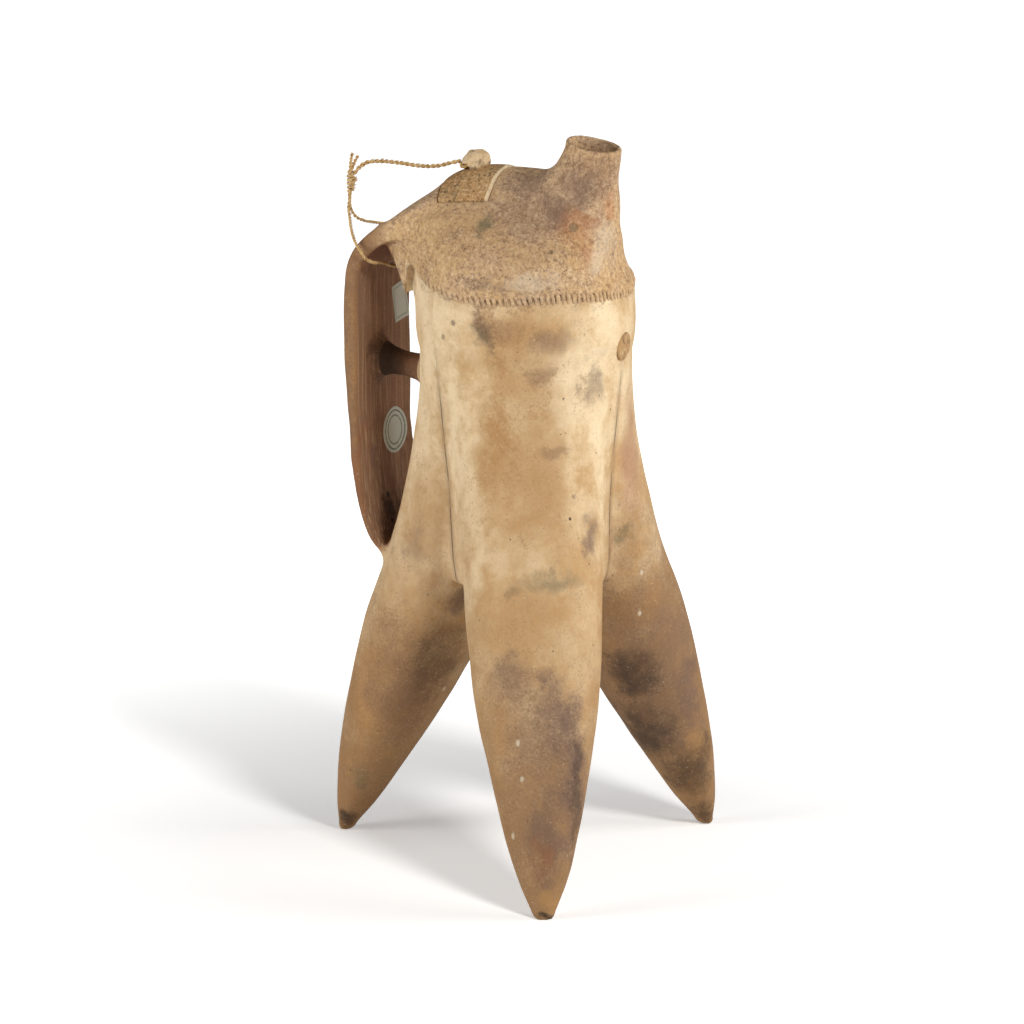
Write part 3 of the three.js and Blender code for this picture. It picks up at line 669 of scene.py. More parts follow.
class Field:
    """Signed distances on a box of evenly spaced points, from the body's axis. Negative in the clay."""

    def __init__(self, low, high, step):
        self.low, self.step = np.array(low, float), step
        counts = np.ceil((np.array(high) - self.low) / step).astype(int) + 1
        axes = [start + step * np.arange(count) for start, count in zip(low, counts)]
        self.x, self.y, self.z = np.ix_(*(axis.astype(np.float32) for axis in axes))
        self.axes = axes

    def even(self, field):
        """The field divided by its slope, so that it measures distance near its surface."""
        slope = np.sqrt(sum(part**2 for part in np.gradient(field, self.step)))
        return (field / np.maximum(slope, 0.25)).astype(np.float32)

    def lumps(self, size, seed):
        """Smooth noise about 1 high over lumps of that size, the same in every box."""
        low, span = -0.15, 0.55
        count = int(span / size) + 5
        heights = np.random.default_rng(seed).standard_normal((count, count, count)).astype(np.float32)
        for axis, places in enumerate(self.axes):
            share = (places - low) / size
            base = np.floor(share).astype(int)
            t = share - base
            weights = np.zeros((len(places), count), np.float32)
            spline = [(1 - t) ** 3, 3 * t**3 - 6 * t**2 + 4, -3 * t**3 + 3 * t**2 + 3 * t + 1, t**3]
            for k, weight in enumerate(spline):
                weights[np.arange(len(places)), base + k] = weight / 6
            heights = np.moveaxis(np.tensordot(weights, heights, (1, axis)), 0, axis)
        return 2.2 * heights

    def upright(self):
        """X as it would be if the body's axis stood upright."""
        s = settings("body")
        return self.x + s.leg_lean * (self.z / s.seam_height - 1)

    def horn(self, angle):
        """One leg with its lobe of the body."""
        s = settings("body")
        rows = [(0, s.foot_circle, 0.8 * s.foot_half, s.foot_half)]
        for height, reach, depth, width in LEG_SHAPE:
            rows.append(
                (height * s.shoulder, reach * s.foot_circle, depth * s.leg_half, width * s.leg_half)
            )
        round_half = s.radius - LOBE_INSET
        rows.append((s.shoulder, 0, round_half, round_half))
        rows.append((s.seam_height + s.seam_fall, 0, s.radius, s.radius))
        table = curve_through(rows, 10)
        reach, depth, width = (np.interp(self.z, table[:, 0], table[:, k]) for k in (1, 2, 3))
        x = self.upright()
        along = x * math.cos(angle) + self.y * math.sin(angle) - reach
        across = self.y * math.cos(angle) - x * math.sin(angle)
        far = np.sqrt((along / depth) ** 2 + (across / width) ** 2) + 1e-6
        slope = np.sqrt((along / depth**2) ** 2 + (across / width**2) ** 2) + 1e-6 / s.leg_half
        return self.even((far - 1) * far / slope)

    def core(self):
        """The round body that shows in the creases and closes the space between the legs."""
        s = settings("body")
        edge = s.crease_radius - UNDERSIDE_INSET
        floor = s.crotch - s.crotch_drop
        sides = [
            (floor, edge), (floor + 0.2 * s.crotch_drop, edge + 0.002),
            (floor + 0.8 * s.crotch_drop, edge + 0.0034), (0.735 * s.shoulder, s.crease_radius),
            (0.9 * s.shoulder, (s.crease_radius + s.radius) / 2), (s.shoulder, s.radius - 0.0014),
        ]
        wide = np.hypot(self.upright(), self.y)
        side = np.interp(self.z, *zip(*sides))
        below = s.crotch - s.crotch_drop * np.interp(wide / edge, *zip(*UNDERSIDE_SHAPE))
        return self.even(np.maximum(wide - side, below - self.z))

    def body(self):
        """Legs and body: the outside and the hollow."""
        s = settings("body")
        horns = [self.horn(angle) for angle in LEG_TURNS.values()]
        core = self.core()
        outside, inside = core, core + s.wall
        # The fillet runs out where the lobes become one round body.
        fillet = s.crease_fillet * np.clip((s.shoulder - self.z) / CREASE_RUN, CREASE_LEAST, 1)
        for horn in horns:
            outside = joined(outside, horn, fillet)
            hollow = shared(horn + s.leg_wall, s.solid_tip - self.z, TIP_ROUND)
            inside = joined(inside, hollow, fillet)
        return shared(outside, -self.z, FOOT_ROUND), inside

    def dome(self):
        """The dome's outside, with its lip over the body."""
        s, b = settings("dome"), settings("body")
        slope = -b.seam_fall / (2 * b.radius)
        rise = s.top - b.seam_height
        up = (self.z - b.seam_height - slope * self.x) / (rise - slope * self.x)
        table = curve_through(DOME_SHAPE, 6)
        front, back, side, square = (np.interp(up, table[:, 0], table[:, k]) for k in (1, 2, 3, 4))
        ahead = self.x > 0
        power = np.where(ahead, 2, square)
        reach = np.where(ahead, front, back) * b.radius
        far = (np.abs(self.x) / reach) ** power + (np.abs(self.y) / (side * b.radius)) ** power
        field = (far ** (1 / power) - 1) * side * b.radius
        lip = s.lip * np.clip(1 - up / 0.1, 0, 1)
        return np.maximum(self.even(field) - lip, (up - 1) * rise)

    def spout(self):
        """The tube and its bore."""
        s = settings("dome")
        foot = s.top - s.spout_root
        tall = s.spout_height - foot
        table = curve_through(SPOUT_SHAPE, 6)
        tilt = -s.spout_fall / (2 * s.mouth_radius) * (self.x - s.spout_reach)
        up = (self.z - foot) / tall
        up = (self.z - foot - np.clip(up, 0, 1.1) ** 3 * tilt) / tall
        middle = np.interp(up, table[:, 0], table[:, 1]) * s.spout_reach
        radius = np.interp(up, table[:, 0], table[:, 2]) * s.spout_base
        wide = np.hypot(self.x - middle, self.y)
        mouth = (up - 1) * tall
        tube = shared(self.even(wide - radius), mouth, MOUTH_ROUND)
        flare = BORE_FLARE * np.clip((up - FLARE_START) / FLARE_RUN, 0, 1) ** 2
        bore = np.maximum(wide - (s.mouth_radius - s.mouth_wall + flare), 0.05 - up)
        return tube, bore

    def strap(self):
        """The strap alone, measured from its ridge in the upright plane through the handle."""
        s, d = settings("handle"), settings("dome")
        tall = d.top - s.drop - s.foot
        rows = [
            (-settings("body").radius - out * s.stand_off, s.foot + up * tall, wide, thick)
            for out, up, wide, thick in STRAP_SHAPE
        ]
        ridge = curve_through([(x, z) for x, z, _, _ in rows], 8)
        shares = curve_through([(w, t) for _, _, w, t in rows], 8)
        x, z = np.broadcast_arrays(self.x[:, 0, :], self.z[0])
        gone = np.hypot(x[..., None] - ridge[:, 0], z[..., None] - ridge[:, 1])
        near = gone.argmin(-1)
        best = np.full(x.shape, 1.0)
        inwards = np.zeros(x.shape)
        where = np.zeros(x.shape)
        for shift in (-1, 0):
            first = np.clip(near + shift, 0, len(ridge) - 2)
            start, span = ridge[first], ridge[first + 1] - ridge[first]
            long = (span**2).sum(-1)
            off_x, off_z = x - start[..., 0], z - start[..., 1]
            t = np.clip((off_x * span[..., 0] + off_z * span[..., 1]) / long, 0, 1)
            off_x, off_z = off_x - t * span[..., 0], off_z - t * span[..., 1]
            far = np.hypot(off_x, off_z)
            side = off_x * -span[..., 1] + off_z * span[..., 0]
            better = far < best
            best = np.where(better, far, best)
            inwards = np.where(better, far * np.sign(side), inwards)
            where = np.where(better, first + t, where)
        past = np.where(z > VAULT_HEIGHT, x - rows[0][0], -1)
        half, thick = (np.interp(where, np.arange(len(shares)), shares[:, k]) for k in (0, 1))
        half, thick, inwards, past = (part[:, None, :] for part in (half, thick, inwards, past))
        half = half * s.half_width
        depth = s.thickness * thick + s.crown
        hollow = s.gutter * np.minimum(1, half / s.half_width)
        side = np.clip(np.abs(self.y) / half, 0, 1.1)
        outer = s.crown * side**2 - inwards
        inner = inwards - depth + hollow * (1 - side**6)
        solid = shared(shared(outer, inner, STRAP_ROUND), np.abs(self.y) - half, SIDE_ROUND)
        return np.maximum(solid, past).astype(np.float32)

    def web(self):
        """Clay pressed into the corner under the strap's root."""
        s, b = settings("handle"), settings("body")
        x, z = self.x + b.radius, self.z - b.seam_height - b.seam_fall / 2 + s.web_drop
        slope = -(s.web_rise * x + s.web_reach * z) / math.hypot(s.web_reach, s.web_rise)
        block = shared(slope, np.abs(self.y) - s.web_half, WEB_ROUND)
        return np.maximum(np.maximum(block, np.abs(x - WEB_MIDDLE) - WEB_DEPTH), z - WEB_TOP)

    def gutter(self, height):
        """Where the strap's hollowed side lies at a height, in the middle of its width."""
        s, d = settings("handle"), settings("dome")
        tall = d.top - s.drop - s.foot
        rows = [row for row in reversed(STRAP_SHAPE) if row[0] > 0.5]
        level = (height - s.foot) / tall
        levels = [row[1] for row in rows]
        out, thick = (np.interp(level, levels, [row[k] for row in rows]) for k in (0, 3))
        ridge = -settings("body").radius - out * s.stand_off
        return ridge + thick * s.thickness + s.crown - s.gutter

    def strut(self):
        """The strut alone, wider at both ends."""
        s = settings("handle")
        start = self.gutter(s.strut_height) - STRUT_IN_STRAP
        end = -settings("body").radius + STRUT_IN_BODY
        share = (self.x - start) / (end - start)
        middle = s.strut_height + STRUT_RAISE - s.strut_fall * share
        flare = np.interp(share, *zip(*FLARE_SHAPE))
        wide = np.hypot(self.y * STRUT_NARROW, self.z - middle)
        tube = self.even(wide - s.strut_radius - s.strut_flare * flare)
        return np.maximum(tube, np.maximum(start - self.x, self.x - end))

    def lid_place(self):
        """The three coordinates in the lid's own frame: along the ridge, across it and up its lift."""
        s, b = settings("dome"), settings("body")
        rows = [(-back * b.radius, up, back) for up, _, back, _, _ in DOME_SHAPE]
        up = np.interp(s.lid_centre, [row[0] for row in rows], [row[1] for row in rows])
        slope = -b.seam_fall / (2 * b.radius)
        seat = b.seam_height + up * (s.top - b.seam_height) + (1 - up) * slope * s.lid_centre
        x, z = self.x - s.lid_centre, self.z - seat
        c, n = math.cos(s.lid_tilt), math.sin(s.lid_tilt)
        return x * c + z * n, self.y, z * c - x * n

    def lid_block(self, inset):
        """The wedge-sided block through the roof in the lid's outline."""
        s = settings("dome")
        x, y, z = self.lid_place()
        taper = s.lid_taper * z / s.wall - inset
        long, wide = np.abs(x) - s.lid_length / 2 - taper, np.abs(y) - s.lid_width / 2 - taper
        return np.maximum(shared(long, wide, CORNER_ROUND), np.maximum(z - BLOCK_ABOVE, -z - BLOCK_BELOW))

    def top(self):
        """Dome and spout: the outside and the hollow."""
        s = settings("dome")
        dome = self.dome()
        tube, bore = self.spout()
        outside = joined(dome, tube, NECK_FILLET)
        inside = joined(dome + s.wall + s.lip, bore, BORE_FILLET)
        return outside, inside

    def clay(self, *forms):
        """The forms named, as one piece of clay with its hollow and the marks of the hand."""
        handle = None
        if "strap" in forms:
            handle = joined(joined(self.strap(), self.strut(), STRUT_FILLET), self.web(), WEB_FILLET)
        outside, inside = None, None
        height = over_edge(self.x, self.y, self.z)
        if "body" in forms:
            outside, inside = self.body()
            outside = np.minimum(outside, shared(self.dome(), SKIRT_START - height, SKIRT_ROUND))
            if handle is not None:
                outside = joined(outside, handle, STRUT_FILLET)
        if "top" in forms:
            over, under = self.top()
            if handle is not None:
                over = joined(over, handle, ROOT_FILLET)
            if outside is not None:
                # Below the dome's edge only its join with the strap's root goes on.
                hang = HANG_DEPTH * np.clip((HANG_START - self.x) / HANG_RUN, 0, 1)
                over = np.minimum(outside, np.maximum(over, -height - hang))
                under = np.minimum(inside, np.maximum(under, HOLLOW_START - height))
            outside, inside = over, under
        amount = settings("detail").hand_lumps
        solid = outside - amount * self.lumps(BIG_LUMP, 1) - SMALL_SHARE * amount * self.lumps(SMALL_LUMP, 2)
        solid = shared(solid, -inside, EDGE)
        return np.maximum(solid, -self.z)


def slopes_at(grid, field, points):
    """The field's slope at the points, as unit vectors."""
    index = (points - grid.low) / grid.step
    limit = np.array(field.shape) - 2
    base = np.clip(np.floor(index).astype(int), 0, limit)
    t = np.clip(index - base, 0, 1)
    slopes = np.stack(np.gradient(field, grid.step), -1)
    out = np.zeros((len(points), 3))
    for corner in np.ndindex(2, 2, 2):
        weight = np.prod(np.where(corner, t, 1 - t), axis=1)
        i, j, k = (base + corner).T
        out += weight[:, None] * slopes[i, j, k]
    return out / np.maximum(np.linalg.norm(out, axis=1, keepdims=True), 1e-9)


def skin(grid, field):
    """The field's surface as a mesh of quads."""
    reach = 3 * grid.step
    volume = openvdb.FloatGrid(reach)
    volume.copyFromArray(np.clip(field, -reach, reach).astype(np.float32))
    points, quads = volume.convertToQuads(isovalue=0.0)
    mesh = bpy.data.meshes.new("skin")
    mesh.from_pydata((points * grid.step + grid.low).tolist(), [], quads.tolist())
    return mesh


def within(face, zone):
    """Whether a face's middle is in a box given by its two corners."""
    middle = face.calc_center_median()
    return all(low <= value <= high for value, low, high in zip(middle, *zone))


def keep_island(mesh, seed):
    """Deletes all but the connected part that comes nearest to the seed."""
    mesh.verts.ensure_lookup_table()
    first = min(mesh.verts, key=lambda vertex: (vertex.co - Vector(seed)).length)
    found, todo = {first}, [first]
    while todo:
        for edge in todo.pop().link_edges:
            for vertex in edge.verts:
                if vertex not in found:
                    found.add(vertex)
                    todo.append(vertex)
    bmesh.ops.delete(mesh, geom=[v for v in mesh.verts if v not in found], context="VERTS")


def clay_piece(name, grid, field, cuts, seed):
    """A closed mesh of the field's surface, cut off square by planes.

    A cut is a point, the direction that goes away, and the box that it is limited to or None.
    """
    rough = skin(grid, field)
    mesh = bmesh.new()
    mesh.from_mesh(rough)
    bpy.data.meshes.remove(rough)
    for point, away, zone in cuts:
        faces = [face for face in mesh.faces if zone is None or within(face, zone)]
        edges = {edge for face in faces for edge in face.edges}
        verts = {vertex for face in faces for vertex in face.verts}
        bmesh.ops.bisect_plane(
            mesh, geom=[*verts, *edges, *faces], dist=1e-7, plane_co=point, plane_no=away, clear_outer=True
        )
    keep_island(mesh, seed)
    for face in mesh.faces:
        face.smooth = True
    for point, away, _ in cuts:
        direction = Vector(away).normalized()
        rim = [
            edge for edge in mesh.edges
            if edge.is_boundary and all(abs((v.co - Vector(point)).dot(direction)) < 2e-6 for v in edge.verts)
        ]
        filled = bmesh.ops.triangle_fill(mesh, use_beauty=True, edges=rim, normal=direction)
        for face in filled["geom"]:
            if isinstance(face, bmesh.types.BMFace):
                face.smooth = False
                if face.normal.dot(direction) < 0:
                    face.normal_flip()
    made = bpy.data.meshes.new(name)
    mesh.to_mesh(made)
    mesh.free()
    set_normals(made, grid, field)
    made.transform(Matrix.Translation((AXIS_X, 0, 0)))
    return show(name, made)


def set_normals(mesh, grid, field):
    """Normals from the field, so that joints don't show, and square ones on the cut faces."""
    points = np.zeros(len(mesh.vertices) * 3)
    mesh.vertices.foreach_get("co", points)
    smooth = slopes_at(grid, field, points.reshape(-1, 3))
    corners = np.zeros(len(mesh.loops), int)
    mesh.loops.foreach_get("vertex_index", corners)
    flat = np.zeros(len(mesh.polygons) * 3)
    mesh.polygons.foreach_get("normal", flat)
    sizes = np.zeros(len(mesh.polygons), int)
    mesh.polygons.foreach_get("loop_total", sizes)
    soft = np.zeros(len(mesh.polygons), bool)
    mesh.polygons.foreach_get("use_smooth", soft)
    owner = np.repeat(np.arange(len(sizes)), sizes)
    normals = np.where(soft[owner, None], smooth[corners], flat.reshape(-1, 3)[owner])
    mesh.normals_split_custom_set(normals.tolist())


def leaned(angle):
    """The upright plane through the body's axis at an angle, whose direction is that of growing angle."""
    s = settings("body")
    x, y = -math.sin(angle), math.cos(angle)
    return (s.leg_lean, 0, 0), (x, y, x * s.leg_lean / s.seam_height)


def seam_plane():
    """A point of the seam's plane and its upward direction."""
    s = settings("body")
    return (0, 0, s.seam_height), (s.seam_fall / (2 * s.radius), 0, 1)


def spout_plane():
    """The same of the joint between dome and spout."""
    s = settings("dome")
    point = (s.spout_reach - s.cut_back, 0, s.spout_height - s.cut_drop)
    return point, (math.sin(s.cut_turn), 0, math.cos(s.cut_turn))


def turned(direction):
    """The same direction the other way round."""
    return tuple(-part for part in direction)


# Marks on the clay, with painted highlights and painted shade among them, by where they lie in a picture 1024
# across: middle across and down, half width and half height, then colour and strength.
MARKS = {
    "right_leg": {
        # Tan clay down the middle of the body, made darker there as painted shade between the two side lamps.
        "tan and painted shade down the middle": (497, 440, 25, 150, "ochre", 0.95),
        "tan and painted shade over the middle": (530, 450, 40, 190, "ochre", 0.7),
        "tan before the foot": (510, 640, 40, 60, "ochre", 0.55),
        "tan under the seam": (520, 326, 50, 26, "ochre", 0.8),
        "tan and painted shade in the middle": (540, 470, 26, 90, "ochre", 0.3),
        # Painted highlights of the side lamps, in cream, along both sides of the body and on its shoulders.
        "painted highlight beside the left crease": (453, 430, 14, 130, "cream", 0.8),
        "painted highlight beside the right crease": (598, 440, 15, 110, "cream", 0.85),
        "painted highlight on the right shoulder": (606, 320, 20, 30, "cream", 0.8),
        "painted highlight on the left shoulder": (440, 310, 22, 50, "cream", 0.7),
        "cream lower left": (478, 560, 14, 60, "cream", 0.5),
        "soot under the seam": (487, 338, 15, 22, "soot", 0.72),
        "soot drip": (482, 316, 9, 14, "umber", 0.8),
        "brown beside the soot": (500, 330, 18, 20, "umber", 0.5),
        "ring-shaped pit": (453, 323, 4, 4, "smoke", 0.7),
        "small pit": (443, 337, 3, 4, "soot", 0.5),
        "smudge high on the right": (553, 338, 27, 18, "smoke", 0.62),
        "smudge under it": (541, 373, 16, 14, "smoke", 0.45),
        "smudge by the right crease": (594, 384, 14, 28, "smoke", 0.68),
        "rubbed streak": (600, 352, 14, 5, "chalk", 0.5),
        "smudge halfway down the right": (591, 536, 14, 26, "smoke", 0.75),
        "brown patch": (551, 451, 16, 10, "umber", 0.5),
        "small brown stroke": (576, 498, 4, 9, "smoke", 0.6),
        "small hole": (570, 519, 2, 2, "soot", 0.9),
        "grey-green band": (550, 584, 34, 13, "moss", 0.62),
        "olive spot": (514, 594, 11, 10, "moss", 0.6),
        "tan above the foot": (520, 620, 50, 30, "ochre", 0.4),
        "burnt foot": (545, 800, 50, 110, "umber", 0.45),
        "brown at the left above the foot": (508, 676, 26, 32, "smoke", 0.6),
        "brown foot": (530, 730, 44, 60, "umber", 0.5),
        "grey spot": (547, 682, 11, 13, "smoke", 0.6),
        "tan side of the foot": (497, 745, 14, 46, "ochre", 0.7),
        "dark side of the foot": (572, 770, 26, 110, "smoke", 0.9),
        "darker above the foot": (560, 720, 30, 40, "smoke", 0.6),
        "sooty edge of the foot": (577, 790, 12, 80, "soot", 0.5),
        "dark above the tip": (548, 840, 26, 50, "smoke", 0.7),
        "red-brown above the tip": (542, 858, 16, 22, "russet", 0.6),
        "upper flake": (518, 743, 3, 5, "chalk", 0.8),
        "middle flake": (522, 779, 3, 4, "chalk", 0.7),
        "lower flake": (513, 836, 3, 5, "chalk", 0.7),
        "scraped tip": (550, 898, 13, 13, "ochre", 0.7),
        "black rim of the tip": (546, 919, 16, 5, "soot", 0.9),
    },
    "rear_leg": {
        # Painted highlight of the left lamp beside the crease.
        "painted highlight beside the body's crease": (428, 350, 14, 90, "cream", 0.75),
        "mottled lobe": (425, 510, 26, 60, "ochre", 0.6),
        "brown flecks on the lobe": (415, 545, 20, 30, "umber", 0.6),
        "golden leg": (400, 690, 80, 130, "ochre", 0.5),
        "brown leg": (405, 690, 50, 110, "umber", 0.7),
        # Painted shade on the leg's side away from the light.
        "dark inner side": (440, 660, 34, 90, "soot", 0.45),
        "purple spot in the crotch": (456, 603, 15, 16, "smoke", 0.8),
        "olive stain": (360, 774, 16, 20, "moss", 0.7),
        "pale streak": (444, 689, 3, 6, "chalk", 0.5),
        # Painted highlight along the leg's lit left edge.
        "painted golden highlight on the left edge": (362, 700, 12, 90, "ochre", 0.6),
        "brown under the strap's root": (408, 276, 8, 10, "pink", 0.6),
        "brown by the seam's left end": (414, 284, 8, 7, "umber", 0.5),
        "dark tip": (345, 818, 16, 16, "soot", 0.85),
    },
    "left_leg": {
        "pink-brown lobe": (632, 450, 26, 80, "pink", 0.8),
        # Painted highlight of the right lamp beside the crease.
        "painted highlight on the left leg beside the right crease": (618, 330, 14, 40, "cream", 0.7),
        "grey-green band across the leg": (622, 534, 18, 11, "moss", 0.7),
        "burnt leg": (660, 690, 80, 150, "smoke", 0.5),
        "black-brown foot": (692, 775, 26, 50, "soot", 0.7),
        "upper chip": (642, 572, 3, 4, "chalk", 0.8),
        "lower chip": (640, 613, 3, 4, "chalk", 0.8),
        "black-grey cloud": (630, 677, 32, 34, "soot", 0.75),
        "dark inner side": (645, 735, 34, 80, "soot", 0.75),
        "smoky outer side": (690, 700, 20, 80, "smoke", 0.6),
        "golden fleck": (690, 647, 9, 16, "ochre", 0.6),
        "lower golden fleck": (694, 743, 9, 14, "ochre", 0.6),
        "dark tip": (704, 815, 18, 20, "soot", 0.8),
    },
    "dome": {
        "brown over all": (520, 225, 100, 50, "umber", 0.35),
        "tan shoulder by the lid": (435, 230, 26, 26, "sand", 0.5),
        # Painted highlight of the right lamp on the dome's shoulder.
        "painted highlight on the dome's right shoulder": (604, 245, 22, 30, "chalk", 0.6),
        "orange blush under the spout": (578, 225, 26, 34, "blush", 0.5),
        "grey cloud across the dome": (556, 208, 20, 34, "smoke", 0.75),
        "dark ridge before the spout": (530, 180, 34, 14, "smoke", 0.6),
        "smoke over the seam": (500, 285, 40, 12, "smoke", 0.4),
        "green-grey spot": (485, 226, 12, 10, "moss", 0.85),
        "small green spot": (573, 228, 6, 6, "moss", 0.6),
        "pit": (551, 252, 3, 3, "soot", 0.6),
        "white patches over the seam": (533, 281, 26, 9, "chalk", 0.5),
    },
    "spout": {
        "brown neck": (595, 175, 40, 30, "umber", 0.55),
        "blush on the neck": (612, 215, 10, 30, "blush", 0.5),
        "grey cloud on the neck": (574, 190, 16, 26, "smoke", 0.6),
        "pale wear on the neck": (600, 170, 10, 10, "sand", 0.4),
    },
    "strap": {
        # Painted shade where the strut meets the strap.
        "painted shade round the strut": (383, 364, 22, 36, "soot", 0.85),
        # Painted shade in the hollow of the strap's lower end.
        "painted shade in the pocket": (390, 513, 11, 30, "soot", 0.7),
        "upper hole in the pocket": (388, 494, 3, 4, "soot", 0.95),
        "lower hole in the pocket": (392, 520, 3, 4, "soot", 0.95),
        "red-brown lip": (355, 480, 10, 46, "russet", 0.6),
        # Red-brown clay in the vault under the arch, made darker as painted shade.
        "red-brown and painted shade in the vault": (384, 251, 20, 18, "russet", 0.6),
        # Painted shade in the crack at the vault's junction.
        "painted shade in the crack of the vault": (398, 249, 3, 9, "soot", 0.9),
        "painted shade at the end of the crack": (391, 264, 6, 3, "soot", 0.8),
        "cloud under the strut": (375, 460, 10, 22, "smoke", 0.7),
        "dark outer edge": (347, 330, 3, 60, "umber", 0.7),
    },
}


def view_axes():
    """Right, up and backwards in the picture."""
    s = settings("stage")
    right = Vector((math.cos(s.azimuth), math.sin(s.azimuth), 0))
    flat = Vector((math.sin(s.azimuth), -math.cos(s.azimuth), 0))
    back = flat * math.cos(s.elevation) + Vector((0, 0, math.sin(s.elevation)))
    return right, back.cross(right), back


def eye():
    """Where the camera stands."""
    s = settings("stage")
    right, _, back = view_axes()
    return right * s.aside + Vector((s.ahead, 0, s.height)) + back * s.distance


def under_pixel(piece, across, down):
    """The point of the piece that a pixel of the picture shows, or None beside it."""
    right, up, back = view_axes()
    focal = settings("stage").lens / SENSOR * PICTURE
    line = right * (across - PICTURE / 2) + up * (PICTURE / 2 - down) - back * focal
    hit, point, _, _ = piece.ray_cast(eye(), line.normalized())
    return point if hit else None


class Clay(Finish):
    """Hand-built earthenware: clouds, blotches, grit, pits and the marks listed above, some of which are
    painted highlights and painted shade.
    """

    def __init__(self, name, pale, middle, dark, shift=0.0):
        super().__init__(name)
        self.coat(pale, middle, dark, shift)

    def coat(self, pale, middle, dark, shift):
        """Bare clay between three colours."""
        broad = self.noise(self.place, 24, 5, 0.6, shift)
        blotch = self.noise(self.place, 80, 7, 0.68, shift + 1.3)
        self.grit = self.noise(self.place, 800, 5, 0.72, shift + 2.1)
        self.wear = self.noise(self.place, 260, 7, 0.75, shift + 3.7)
        self.stipple = (self.grit - 0.5) * 0.9 + (self.wear - 0.5) * 0.5
        base = self.mix(middle, pale, self.smooth(broad + blotch * 0.6 + self.stipple * 0.5, 0.6, 1.0))
        base = self.mix(base, dark, self.smooth(blotch + self.stipple * 0.6, 0.5, 0.8) * 0.6)
        self.base = self.mix(base, pale, self.smooth(self.wear, 0.5, 0.72) * 0.25)
        self.pits = self.smooth(self.noise(self.place, 430, 2, 0.5, shift + 5.9), 0.27, 0.21)
        self.cloud = (blotch - 0.5) * 1.3
        self.broad = broad
        self.warm = self.ragged(0.013, 55, shift)
        self.worn = self.smooth(blotch + self.stipple, 0.4, 0.65)
        self.blotch = blotch
        self.height = self.grit * 0.3 + self.wear * 0.6 + blotch * 0.9

    def stain(self, shade, share):
        """Lays a colour over the clay."""
        self.base = self.mix(self.base, shade, share)

    def mark(self, piece, marks):
        """Lays the named marks on the piece. Each is broken up by the clay's own wear."""
        stage = settings("stage")
        pixel = stage.distance * SENSOR / stage.lens / PICTURE
        for across, down, half_width, half_height, shade, strength in marks.values():
            point = under_pixel(piece, across, down)
            if point is None:
                continue
            wide, tall = half_width * pixel, half_height * pixel
            if max(half_width, half_height) < PIT_SIZE:
                here = self.spot(self.place, point, wide, tall, 0.6)
                self.stain(shade, here * strength)
                self.height = self.height - here * 0.9
            else:
                here = self.spot(self.warm, point, MARK_SPREAD * wide, MARK_SPREAD * tall, 1)
                cloud = self.smooth(here + self.cloud + self.stipple * 0.7, 0.05, 1.15)
                self.stain(shade, cloud * self.smooth(here, 0.0, 0.5) * strength)

    def show_under(self, coat, share):
        """Shows an earlier coat, kept as its base and height, where the share is 1."""
        self.base = self.mix(self.base, coat[0], share)
        self.height = self.height + (coat[1] - self.height) * share

    def end(self, depth=0.0005, roughness=0.86, speck=0.32):
        """Adds grit, pits and the bump."""
        self.stain(DARK_GRIT, self.smooth(self.grit, 0.5, 0.66) * speck)
        self.stain(PALE_GRIT, self.smooth(self.grit, 0.4, 0.28) * 0.3)
        self.stain(PIT, self.pits * 0.6)
        height = self.height - self.pits * 0.8
        return self.finish(self.base, self.wear * 0.2 + (roughness - 0.1), height, depth)


def across_plane(made, point, direction):
    """Distance from a plane, in metres, given in the body's axis frame."""
    unit = Vector(direction).normalized()
    start = Vector((AXIS_X, 0, 0)) + Vector(point)
    off = made.vector("SUBTRACT", made.place, tuple(start))
    return made.math("ABSOLUTE", made.vector("DOT_PRODUCT", off, tuple(unit), "Value"))


